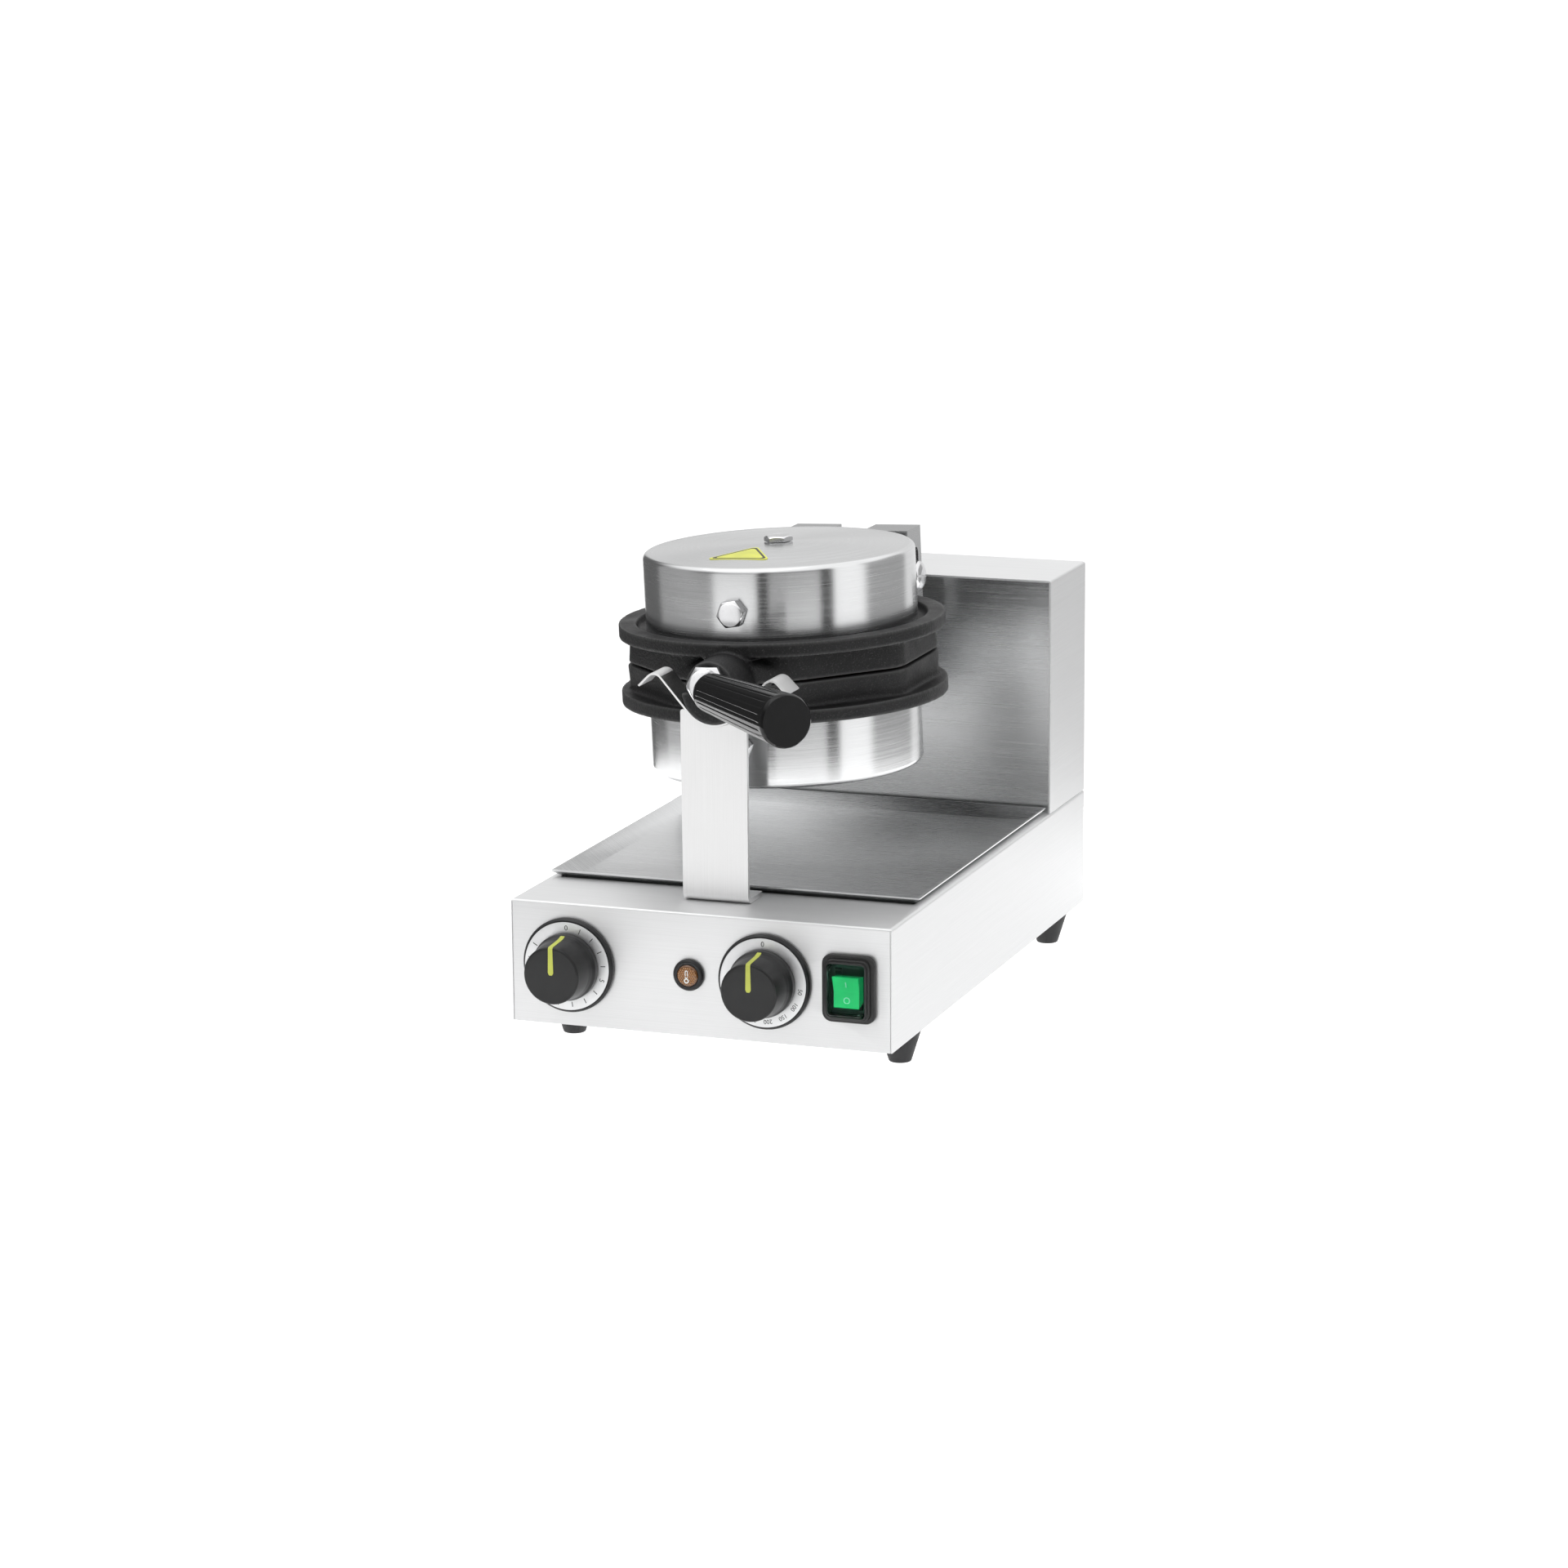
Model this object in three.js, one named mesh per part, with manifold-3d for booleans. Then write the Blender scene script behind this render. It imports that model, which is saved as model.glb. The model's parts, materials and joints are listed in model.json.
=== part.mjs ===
// Rotary waffle maker: two cast-iron plates in steel casings turn together on a hollow shaft
// above a drip tray, carried by a rear tower and a front cradle.
// Millimetres, +X to the right, +Y to the rear, +Z up, z = 0 on the table.
import * as THREE from 'three';
import { mergeGeometries, mergeVertices } from 'three/addons/utils/BufferGeometryUtils.js';
import Module from 'manifold-3d';

const wasm = await Module();
wasm.setup();

// ---- driving dimensions ------------------------------------------------------------------
const WIDTH = 250; // base and tower
const DEPTH = 410; // base, front panel to rear wall
const FOOT_HEIGHT = 22;
const DECK_TOP = FOOT_HEIGHT + 78;
const TOWER_TOP = FOOT_HEIGHT + 236;
const TOWER_DEPTH = 80;
const SHEET = 1.5; // folded stainless housings
const GAP = 0.3; // between separate pieces that touch
const FOLD = 1.8; // outside radius of the housing folds

const AXIS_Z = 233; // rotor axis above the table
const REST_ROLL = -2.3; // degrees: the plates lean a little to the left at rest
const PLATE_Y = -49; // centre of the round plates
const FLANGE_R = 104;
const FLANGE_IN = 17; // flange faces, measured from the parting plane
const FLANGE_OUT = 25.6;
const BODY_APOTHEM = 92.4; // octagonal body of each casting
const BODY_CORNER = 9;
const PARTING = 0.5; // half of the gap between the two castings
const CASING_R = 86.5;
const CASING_TOP = 69.6; // rim of the casing above the parting plane
const CASING_DOME = 3.6; // rise of its top at the centre
const CASING_SHEET = 1.2;
const BOSS_R = 20; // the two half-bosses that roll in the cradle
const BOSS_FRONT = -178.5;
const BOSS_REAR = -133; // inside the wall of the casting
const NOSE_FRONT = -182;
const NOSE_R = 14.7;
const NOSE_RISE = 5.2; // handle axis above the parting plane
const ROD_R = 6;
const STUD_LENGTH = 18;
const STUD_R = 4; // end of the handle rod that screws into the nose
const HINGE_Y = 94.5;
const HINGE_RISE = 27.7;
const HINGE_TRAVEL = 14.7; // the hinge pin can rise this far in its slots
const BOX_HALF = 43;
const BOX_FRONT = 78;
const BOX_REAR = 105;
const SHAFT_R = 12.5;
const HANDLE_BEND_Y = -194;
const HANDLE_YAW = 44; // degrees from straight ahead towards +X
const GRIP_START = 12.5; // from the bend, along the handle
const GRIP_LENGTH = 114;
const GRIP_R = [12.1, 16.5];
const PANEL_Y = -DEPTH / 2;
const CONTROL_Z = 61;
const TIMER_X = -86;
const LAMP_X = -6.5;
const THERMOSTAT_X = 43.5;
const SWITCH_X = 98;
const BRACKET_Y = -176; // front face of the upright strip
const BRACKET_HALF = 21.75;
const BOLT_R = 4; // casing bolts, casting bolts and hinge pin
const BOLT_HOLE_R = BOLT_R + GAP;
const BOLT_LEVEL = 42; // side bolts above the parting plane
const HEX_ACROSS = 16; // flats of the casing bolts
const HINGE_BOLT = { x: 20, y: 90, hex: 13, head: 5.3, end: -24.5 };
const BOX_BOTTOM = -14;
const BOX_TOP = 60;
const BOX_WALL = 2;
const SPINDLE_R = 3;
const GLAND = { x: -80, z: 58, hex: 19, bore: 4.5, thread: 8 };
const COVER_SCREW = { x: 110, z: 246, stem: 2 };
const CRADLE_SHEET = 1.2;
const BRACKET = { sheet: 3, bend: 6, foot: 26, screwX: 10, screwY: 18, stem: 2.5, below: 12 };
const WELL = { x: 118, front: -141, rear: 121 }; // opening of the deck above the tray frame
const LEDGE = { x: 116.5, front: -140.5, rear: 120.5, bottom: 94.8 }; // carries the tray
const TRAY = { half: 122.8, front: -144.5, rear: 122.5, rim: 105, floor: 97, flare: 9.8, sheet: 1 };
const FRAME_SHIFT_Y = 39.23; // brings the whole outline's middle to y = 0

const FINE = 48; // facets round the large circles
const MEDIUM = 28;
const SMALL = 14;

const DEG = Math.PI / 180;

// ---- solid helpers -----------------------------------------------------------------------
function toManifold(geometry) {
  const plain = geometry.clone();
  plain.deleteAttribute('normal');
  plain.deleteAttribute('uv');
  const welded = mergeVertices(plain, 1e-4);
  return new wasm.Manifold(new wasm.Mesh({
    numProp: 3,
    vertProperties: Float32Array.from(welded.attributes.position.array),
    triVerts: Uint32Array.from(welded.index.array),
  }));
}

function toGeometry(manifold) {
  const mesh = manifold.getMesh();
  const geometry = new THREE.BufferGeometry();
  geometry.setAttribute('position', new THREE.BufferAttribute(mesh.vertProperties, 3));
  geometry.setIndex(new THREE.BufferAttribute(mesh.triVerts, 1));
  return geometry;
}

function join(...geometries) {
  return toGeometry(geometries.map(toManifold).reduce((a, b) => a.add(b)));
}

function cut(body, ...tools) {
  return toGeometry(tools.map(toManifold).reduce((a, b) => a.subtract(b), toManifold(body)));
}

function common(...geometries) {
  return toGeometry(geometries.map(toManifold).reduce((a, b) => a.intersect(b)));
}

function block([x0, x1], [y0, y1], [z0, z1]) {
  const geometry = new THREE.BoxGeometry(x1 - x0, y1 - y0, z1 - z0);
  return geometry.translate((x0 + x1) / 2, (y0 + y1) / 2, (z0 + z1) / 2);
}

// Turns a shape drawn in the plane across `axis` into a prism from `low` to `high` along it.
// Across x the drawing is (y, z), across y it is (x, z), across z it is (x, y).
function prism(shape, axis, low, high, curveSegments = 8) {
  const depth = high - low;
  const geometry = new THREE.ExtrudeGeometry(shape, { depth, bevelEnabled: false, curveSegments });
  const v = (x, y, z) => new THREE.Vector3(x, y, z);
  if (axis === 'x') {
    geometry.translate(0, 0, low);
    geometry.applyMatrix4(new THREE.Matrix4().makeBasis(v(0, 1, 0), v(0, 0, 1), v(1, 0, 0)));
  } else if (axis === 'y') {
    geometry.translate(0, 0, -high);
    geometry.applyMatrix4(new THREE.Matrix4().makeBasis(v(1, 0, 0), v(0, 0, 1), v(0, -1, 0)));
  } else {
    geometry.translate(0, 0, low);
  }
  return geometry;
}

// Revolves [radius, along] points about an axis through the origin.
function turned(points, axis, facets = MEDIUM) {
  const profile = points.map(([r, t]) => new THREE.Vector2(r, t));
  const geometry = new THREE.LatheGeometry(profile, facets);
  if (axis === 'x') geometry.rotateZ(-Math.PI / 2);
  if (axis === 'z') geometry.rotateX(Math.PI / 2);
  return geometry;
}

function rod(r, axis, low, high, facets = SMALL) {
  return turned([[0, low], [r, low], [r, high], [0, high]], axis, facets);
}

function tube(inner, outer, axis, low, high, facets = MEDIUM) {
  return turned([[inner, low], [outer, low], [outer, high], [inner, high], [inner, low]], axis, facets);
}

function polygon(points) {
  return new THREE.Shape(points.map(([a, b]) => new THREE.Vector2(a, b)));
}

function rectangle(a0, a1, b0, b1, radius = 0) {
  if (radius === 0) return polygon([[a0, b0], [a1, b0], [a1, b1], [a0, b1]]);
  const shape = new THREE.Shape();
  shape.absarc(a1 - radius, b0 + radius, radius, -Math.PI / 2, 0);
  shape.absarc(a1 - radius, b1 - radius, radius, 0, Math.PI / 2);
  shape.absarc(a0 + radius, b1 - radius, radius, Math.PI / 2, Math.PI);
  shape.absarc(a0 + radius, b0 + radius, radius, Math.PI, 1.5 * Math.PI);
  return shape;
}

function arcPoints(cx, cy, radius, from, to, steps) {
  return Array.from({ length: steps + 1 }, (_, i) => {
    const angle = (from + ((to - from) * i) / steps) * DEG;
    return [cx + radius * Math.cos(angle), cy + radius * Math.sin(angle)];
  });
}

// Regular polygon with its corners rounded off.
function roundedPolygon(sides, apothem, corner, firstCorner, steps = 4) {
  const half = 180 / sides;
  const centre = (apothem - corner) / Math.cos(half * DEG);
  const points = [];
  for (let i = 0; i < sides; i += 1) {
    const angle = firstCorner + 2 * half * i;
    const x = centre * Math.cos(angle * DEG);
    const y = centre * Math.sin(angle * DEG);
    points.push(...arcPoints(x, y, corner, angle - half, angle + half, steps));
  }
  return points;
}

function hexagon(acrossFlats) {
  const r = acrossFlats / 2 / Math.cos(30 * DEG);
  return polygon(arcPoints(0, 0, r, 0, 300, 5));
}

// Closed skin between rings of points that all have the same count.
function loft(rings) {
  const count = rings[0].length;
  const positions = rings.flat(2);
  const index = [];
  for (let ring = 0; ring + 1 < rings.length; ring += 1) {
    for (let i = 0; i < count; i += 1) {
      const a = ring * count + i;
      const b = ring * count + ((i + 1) % count);
      index.push(a, b, b + count, a, b + count, a + count);
    }
  }
  const last = (rings.length - 1) * count;
  for (let i = 1; i + 1 < count; i += 1) {
    index.push(0, i + 1, i);
    index.push(last, last + i, last + i + 1);
  }
  const geometry = new THREE.BufferGeometry();
  geometry.setAttribute('position', new THREE.Float32BufferAttribute(positions, 3));
  geometry.setIndex(index);
  return geometry;
}

function rectangleRing(x0, x1, y0, y1, z) {
  return [[x0, y0, z], [x1, y0, z], [x1, y1, z], [x0, y1, z]];
}

// ---- materials and placing ---------------------------------------------------------------
const FINISH = {
  stainless: { color: 0xc9cbcd, roughness: 0.35, metalness: 1 },
  plate: { color: 0x9fa2a5, roughness: 0.5, metalness: 1 },
  zinc: { color: 0xd6d8da, roughness: 0.25, metalness: 1 },
  iron: { color: 0x2b2b2c, roughness: 0.75, metalness: 0.4 },
  bronze: { color: 0xa8803c, roughness: 0.45, metalness: 1 },
  rubber: { color: 0x161616, roughness: 0.85, metalness: 0 },
  bakelite: { color: 0x0c0c0d, roughness: 0.15, metalness: 0 },
  knob: { color: 0x3a3a3a, roughness: 0.5, metalness: 0 },
  scale: { color: 0xcfd1d2, roughness: 0.3, metalness: 0.9 },
  lens: { color: 0xa8743a, roughness: 0.2, metalness: 0 },
  green: { color: 0x109050, roughness: 0.25, metalness: 0 },
  boot: { color: 0x2c8a58, roughness: 0.15, metalness: 0 },
  moulding: { color: 0x202122, roughness: 0.6, metalness: 0 },
  sticker: { color: 0xd6d72f, roughness: 0.5, metalness: 0 },
};

const group = new THREE.Group();
group.name = 'waffle_maker';
group.position.y = FRAME_SHIFT_Y;

const rotor = new THREE.Group();
rotor.name = 'rotor';
rotor.position.z = AXIS_Z;
rotor.rotation.y = REST_ROLL * DEG;
group.add(rotor);

function add(parent, name, geometry, finish) {
  const mesh = new THREE.Mesh(geometry, new THREE.MeshStandardMaterial(FINISH[finish]));
  mesh.name = name;
  parent.add(mesh);
}

const half = WIDTH / 2;
const rear = DEPTH / 2;
const towerFront = rear - TOWER_DEPTH;

// ---- base --------------------------------------------------------------------------------
function foldedBox(inset, bottom) {
  const top = DECK_TOP - inset;
  const radius = FOLD - (inset > 0 ? SHEET : 0);
  const across = (low, high) => [
    [low, bottom], [high, bottom],
    ...arcPoints(high - radius, top - radius, radius, 0, 90, 3),
    ...arcPoints(low + radius, top - radius, radius, 90, 180, 3),
  ];
  return common(
    prism(polygon(across(-half + inset, half - inset)), 'y', -rear + inset, rear - inset),
    prism(polygon(across(-rear + inset, rear - inset)), 'x', -half + inset, half - inset),
  );
}

function baseHousing() {
  const shell = cut(foldedBox(0, FOOT_HEIGHT), foldedBox(SHEET, FOOT_HEIGHT - 1));
  const through = 5; // how far a cutting tool passes each side of a wall
  const deck = [DECK_TOP - through, DECK_TOP + through];
  const panel = [PANEL_Y - through, PANEL_Y + through];
  const frameWidth = 20;
  const margin = 12;
  const well = block([-WELL.x, WELL.x], [WELL.front, WELL.rear], deck);
  const openingX = half - frameWidth;
  const towerOpening = block([-openingX, openingX], [towerFront + margin, rear - margin], deck);
  const spindle = (x) => rod(SPINDLE_R + 2, 'y', ...panel).translate(x, 0, CONTROL_Z);
  const lamp = rod(6.5, 'y', ...panel).translate(LAMP_X, 0, CONTROL_Z);
  const rocker = block([SWITCH_X - 12.5, SWITCH_X + 12.5], panel, [CONTROL_Z - 17, CONTROL_Z + 17]);
  const gland = rod(GLAND.thread + GAP, 'y', rear - through, rear + through).translate(GLAND.x, 0, GLAND.z);
  return cut(shell, well, towerOpening, spindle(TIMER_X), spindle(THERMOSTAT_X), lamp, rocker, gland);
}

function bottomPlate() {
  const inset = SHEET + GAP;
  const plate = block([-half + inset, half - inset], [-rear + inset, rear - inset],
    [FOOT_HEIGHT + GAP, FOOT_HEIGHT + GAP + SHEET]);
  const through = [FOOT_HEIGHT - 2, FOOT_HEIGHT + 6];
  const pitch = 30;
  const slots = [];
  for (let column = -2; column <= 2; column += 1) {
    for (const y of [-40, 60]) {
      const x = pitch * column;
      slots.push(block([x - 3, x + 3], [y - 22, y + 22], through));
    }
  }
  const stems = FEET.map(([x, y]) => rod(BOLT_HOLE_R, 'z', ...through).translate(x, y, 0));
  return cut(plate, mergeGeometries(slots), ...stems);
}

const FEET = [[-109.3, -143], [109.3, -143], [-109.3, 172], [109.3, 172]];
const FOOT_NAMES = ['foot_front_left', 'foot_front_right', 'foot_rear_left', 'foot_rear_right'];

function foot() {
  const top = FOOT_HEIGHT;
  const plate = FOOT_HEIGHT + GAP + SHEET;
  return turned([
    [0, 0], [6.6, 0], [7.3, 0.7], [13.3, top - 2], [13.7, top], [4, top],
    [4, plate + GAP], [6, plate + GAP], [5, plate + 3], [0, plate + 3],
  ], 'z', 16);
}

function trayFrame() {
  const { x, front, rear: back, bottom } = LEDGE;
  const above = DECK_TOP + 10;
  const width = 16.5;
  const outside = block([-x - 4.5, x + 4.5], [front - 4, back + 2.5], [bottom, DECK_TOP - SHEET - GAP]);
  const inside = block([-x, x], [front, back], [bottom + SHEET, above]);
  const opening = block([-x + width, x - width], [front + width, back - width], [bottom - 5, above]);
  return cut(outside, inside, opening);
}

function dripTray() {
  const { half: w, front, rear: back, rim, floor, flare, sheet } = TRAY;
  const outer = loft([
    rectangleRing(-w + flare, w - flare, front + flare, back - flare, floor),
    rectangleRing(-w, w, front, back, rim - sheet),
    rectangleRing(-w, w, front, back, rim),
  ]);
  const low = flare + sheet;
  const inner = loft([
    rectangleRing(-w + low, w - low, front + low, back - low, floor + sheet),
    rectangleRing(-w + sheet, w - sheet, front + sheet, back - sheet, rim + 0.01),
    rectangleRing(-w + sheet, w - sheet, front + sheet, back - sheet, rim + 3),
  ]);
  return cut(outer, inner);
}

// ---- tower -------------------------------------------------------------------------------
function towerCover() {
  const bottom = DECK_TOP + GAP;
  const outline = (inset) => {
    const radius = FOLD - (inset > 0 ? SHEET : 0);
    const top = TOWER_TOP - inset;
    const w = half - inset;
    return polygon([
      [-w, bottom - inset], [w, bottom - inset],
      ...arcPoints(w - radius, top - radius, radius, 0, 90, 3),
      ...arcPoints(-w + radius, top - radius, radius, 90, 180, 3),
    ]);
  };
  const hollow = prism(outline(SHEET), 'y', towerFront - 5, rear + 5);
  return cut(prism(outline(0), 'y', towerFront, rear), hollow);
}

function towerFrontPanel() {
  const inset = SHEET + GAP;
  const y = towerFront + 2;
  const panel = block([-half + inset, half - inset], [y, y + SHEET], [DECK_TOP + GAP, TOWER_TOP - inset]);
  return cut(panel, rod(16.5, 'y', y - 5, y + 5, MEDIUM).translate(0, 0, AXIS_Z));
}

function towerRearCover() {
  const inset = SHEET + GAP;
  const height = [DECK_TOP + GAP, TOWER_TOP - inset];
  const panel = block([-half + inset, half - inset], [rear - SHEET, rear], height);
  const through = [rear - 5, rear + 5];
  const firstSlot = 200;
  const slots = [];
  for (let row = 0; row < 4; row += 1) {
    const level = firstSlot + 10 * row;
    slots.push(block([-45, 45], through, [level - 2, level + 2]));
  }
  const { x, z, stem } = COVER_SCREW;
  const hole = (side) => rod(stem + GAP, 'y', ...through).translate(side * x, 0, z);
  const screws = [hole(-1), hole(1)];
  return cut(panel, ...slots, ...screws);
}

function coverScrew(side) {
  const { x, z, stem } = COVER_SCREW;
  const seat = rear + GAP;
  return turned([
    [0, rear - 9], [stem, rear - 9], [stem, seat],
    [4, seat], [4, seat + 0.9], [2.8, seat + 2.1], [0, seat + 2.4],
  ], 'y', SMALL).translate(side * x, 0, z);
}

// Collar, stop and bushes inside the tower, built about the rotor axis.
const LEG_SHEET = 3;
const LEG_FRONT = [towerFront + 2 + SHEET + GAP, towerFront + 2 + SHEET + GAP + LEG_SHEET];
const LEG_REAR = [178, 178 + LEG_SHEET];
const BUSH = { bore: SHAFT_R + 0.1, barrel: 16, rim: 20, rimThickness: 2.2 };
const STOP_RADIUS = 19.6;
const STOP_PIN_R = 2.8;
const STOP_RANGE = [166, 172.5]; // front and rear face of the stop collar
const WIRE_HOLE_R = 8; // the heater wires pass through the hollow shaft

function bearingBracket() {
  const floor = -52;
  const pinFront = 163;
  const legs = block([-40, 40], [LEG_FRONT[0], LEG_REAR[1]], [floor, 19]);
  const hollow = block([-50, 50], [LEG_FRONT[1], LEG_REAR[0]], [floor + LEG_SHEET, 30]);
  const bores = rod(BUSH.barrel + GAP, 'y', 100, 200, MEDIUM);
  const pin = rod(STOP_PIN_R, 'y', pinFront, LEG_REAR[0] + 1, SMALL).translate(0, 0, -STOP_RADIUS);
  return join(cut(legs, hollow, bores), pin);
}

// Flanged bush whose barrel starts at `start` and whose rim lies on the face of a leg.
function bush(start, legFace) {
  const { bore, barrel, rim, rimThickness } = BUSH;
  const seat = legFace + GAP;
  const end = seat + rimThickness;
  return turned([
    [bore, start], [barrel, start], [barrel, seat], [rim, seat], [rim, end], [bore, end], [bore, start],
  ], 'y', FINE);
}

function rotorShaft() {
  const start = BOX_REAR + GAP;
  const end = 192;
  const barrel = rod(SHAFT_R, 'y', start, end, FINE);
  const flange = block([-24, 24], [start, start + 4], [BOX_BOTTOM, 24]);
  return cut(join(barrel, flange), rod(WIRE_HOLE_R, 'y', 100, 200, 24));
}

// Half-moon collar: its two ends meet the stop pin half a turn apart.
function stopCollar() {
  const clearance = 0.8; // degrees
  const reach = 90 - Math.asin(STOP_PIN_R / STOP_RADIUS) / DEG - clearance;
  const lug = polygon([[0, 0], ...arcPoints(0, 0, 23, -reach, reach, 24)]);
  const ring = rod(15.8, 'y', ...STOP_RANGE, MEDIUM);
  return cut(join(prism(lug, 'y', ...STOP_RANGE), ring), rod(SHAFT_R + GAP, 'y', 160, 180, MEDIUM));
}

// ---- hinge -------------------------------------------------------------------------------
function hingeBox() {
  const inside = BOX_HALF - BOX_WALL;
  const floor = BOX_BOTTOM + BOX_WALL;
  const outer = block([-BOX_HALF, BOX_HALF], [BOX_FRONT, BOX_REAR], [BOX_BOTTOM, BOX_TOP]);
  const inner = block([-inside, inside], [BOX_FRONT - 5, BOX_REAR - BOX_WALL], [floor, BOX_TOP - BOX_WALL]);
  const slotLow = HINGE_RISE - BOLT_HOLE_R;
  const slotHigh = HINGE_RISE + HINGE_TRAVEL + BOLT_HOLE_R;
  const slotOutline = rectangle(HINGE_Y - BOLT_HOLE_R, HINGE_Y + BOLT_HOLE_R, slotLow, slotHigh, BOLT_HOLE_R);
  const slot = prism(slotOutline, 'x', -60, 60, 4);
  const notch = block([-12, 12], [BOX_FRONT - 5, BOX_REAR + 5], [44, BOX_TOP + 5]);
  const wireHole = rod(WIRE_HOLE_R, 'y', 90, 120, 24);
  const { x, y } = HINGE_BOLT;
  const boltHoles = [-x, x].map((place) => rod(BOLT_HOLE_R, 'z', -30, 0).translate(place, y, 0));
  return cut(outer, inner, slot, notch, wireHole, ...boltHoles);
}

const HUB_HALF = 9; // half width of the upper casting's hinge hub
const PIN_IN_CAP = 1.2; // length of the pin inside each cap

function hingePin() {
  const end = BOX_HALF + GAP + PIN_IN_CAP;
  return rod(BOLT_R, 'x', -end, end, 24).translate(0, HINGE_Y, HINGE_RISE);
}

// Round slotted head that closes one end of the pin.
function pinCap(side) {
  const face = BOX_HALF + GAP;
  const head = turned([[0, face], [9.8, face], [9.8, face + 1.2], [8.6, face + 2.9], [6, face + 4.1],
    [0, face + 4.7]], 'x', 24);
  const slot = block([face + 2.7, face + 8], [-12, 12], [-0.8, 0.8]);
  const socket = rod(BOLT_HOLE_R, 'x', face - 5, face + PIN_IN_CAP + GAP, 24);
  const cap = cut(head, slot, socket);
  const placed = side > 0 ? cap : cap.rotateZ(Math.PI);
  return placed.translate(0, HINGE_Y, HINGE_RISE);
}

function pinSpacer(side) {
  const spacer = tube(BOLT_HOLE_R, 6.5, 'x', HUB_HALF + GAP, BOX_HALF - BOX_WALL - GAP, 24);
  return (side > 0 ? spacer : spacer.rotateZ(Math.PI)).translate(0, HINGE_Y, HINGE_RISE);
}

// ---- plates ------------------------------------------------------------------------------
const CAVITY_R = 80;
const CAVITY_FLOOR = 13.5; // below the parting plane
const HEM_DEPTH = 5; // groove of the flange that takes the casing's lower edge
const TOOTH_PITCH = 22.5;
const TOOTH_TIP = 3.5; // tips stop this far from the parting plane
const TOOTH_HALF = [7, 4.8]; // half width at the root and at the tip

function teeth() {
  const [root, tip] = TOOTH_HALF;
  const frusta = [];
  for (let i = -4; i < 4; i += 1) {
    for (let j = -4; j < 4; j += 1) {
      const x = (i + 0.5) * TOOTH_PITCH;
      const y = (j + 0.5) * TOOTH_PITCH;
      const farCorner = Math.hypot(Math.abs(x) + root, Math.abs(y) + root);
      if (farCorner < CAVITY_R - 5) {
        frusta.push(loft([
          rectangleRing(x - tip, x + tip, y - tip, y + tip, TOOTH_TIP),
          rectangleRing(x - root, x + root, y - root, y + root, CAVITY_FLOOR + 1),
        ]));
      }
    }
  }
  return mergeGeometries(frusta);
}

// One casting with its parting plane down, centred on the plates' own axis.
function castingBody() {
  const edge = 1.5;
  const grooveFloor = FLANGE_OUT - HEM_DEPTH;
  const grooveInner = CASING_R - CASING_SHEET - 1;
  const studTop = 45;
  const octagonOutline = polygon(roundedPolygon(8, BODY_APOTHEM, BODY_CORNER, 22.5));
  const octagon = prism(octagonOutline, 'z', -2, FLANGE_IN + 1);
  const flange = turned([
    [0, FLANGE_IN], [FLANGE_R - edge, FLANGE_IN], [FLANGE_R, FLANGE_IN + edge],
    [FLANGE_R, FLANGE_OUT - edge], [FLANGE_R - edge, FLANGE_OUT], [92.5, FLANGE_OUT],
    [91.5, grooveFloor], [grooveInner, grooveFloor], [grooveInner, FLANGE_OUT], [0, FLANGE_OUT],
  ], 'z', FINE);
  const cavity = turned([
    [0, -3], [CAVITY_R, -3], [CAVITY_R, PARTING], [CAVITY_R - 4, CAVITY_FLOOR], [0, CAVITY_FLOOR],
  ], 'z', FINE);
  const rearFlat = block([-120, 120], [97.5, 120], [-5, 40]);
  const stud = rod(12, 'z', FLANGE_OUT - 1, studTop, 24);
  const studBore = rod(BOLT_HOLE_R, 'z', studTop - 15, studTop + 5, 24);
  return join(cut(join(octagon, flange, stud), cavity, rearFlat, studBore), teeth());
}

// Flat ribs that carry the boss out from the body, below the flange.
function web() {
  const reach = BOSS_FRONT + 25 - PLATE_Y;
  const outline = polygon([[-46, -75], [46, -75], [30, -100], [17, reach], [-17, reach], [-30, -100]]);
  return prism(outline, 'z', -2, FLANGE_IN + 1);
}

function lowerCasting() {
  const body = flipped(join(castingBody(), web())).translate(0, PLATE_Y, 0);
  const boss = rod(BOSS_R, 'y', BOSS_FRONT, BOSS_REAR, FINE);
  const beyondParting = block([-150, 150], [-250, 150], [-PARTING, 50]);
  const lug = block([-30, 30], [40, 102], [-FLANGE_OUT, BOX_BOTTOM - GAP]);
  const { x, y } = HINGE_BOLT;
  const bores = [-x, x].map((place) => rod(BOLT_HOLE_R, 'z', -40, 0).translate(place, y, 0));
  return cut(join(body, boss, lug), beyondParting, ...bores);
}

function nose() {
  const last = 360 - 360 / MEDIUM;
  const ring = (y, r, rise) => arcPoints(0, rise, r, 0, last, MEDIUM - 1).map(([x, z]) => [x, y, z]);
  return loft([ring(BOSS_REAR, BOSS_R, 0), ring(-154, BOSS_R, 0), ring(NOSE_FRONT, NOSE_R, NOSE_RISE)]);
}

function upperCasting() {
  const body = join(castingBody(), web()).translate(0, PLATE_Y, 0);
  const beyondParting = block([-150, 150], [-250, 150], [-50, PARTING]);
  const arm = block([-HUB_HALF, HUB_HALF], [40, HINGE_Y], [-BOX_BOTTOM, FLANGE_OUT]);
  const hub = rod(8, 'x', -HUB_HALF, HUB_HALF, 24).translate(0, HINGE_Y, HINGE_RISE);
  const bore = rod(BOLT_HOLE_R, 'x', -20, 20, 24).translate(0, HINGE_Y, HINGE_RISE);
  const boreEnd = NOSE_FRONT + STUD_LENGTH + 4;
  const handleBore = rod(STUD_R + GAP, 'y', NOSE_FRONT - 5, boreEnd).translate(0, 0, NOSE_RISE);
  return cut(join(body, nose(), arm, hub), beyondParting, bore, handleBore);
}

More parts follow.
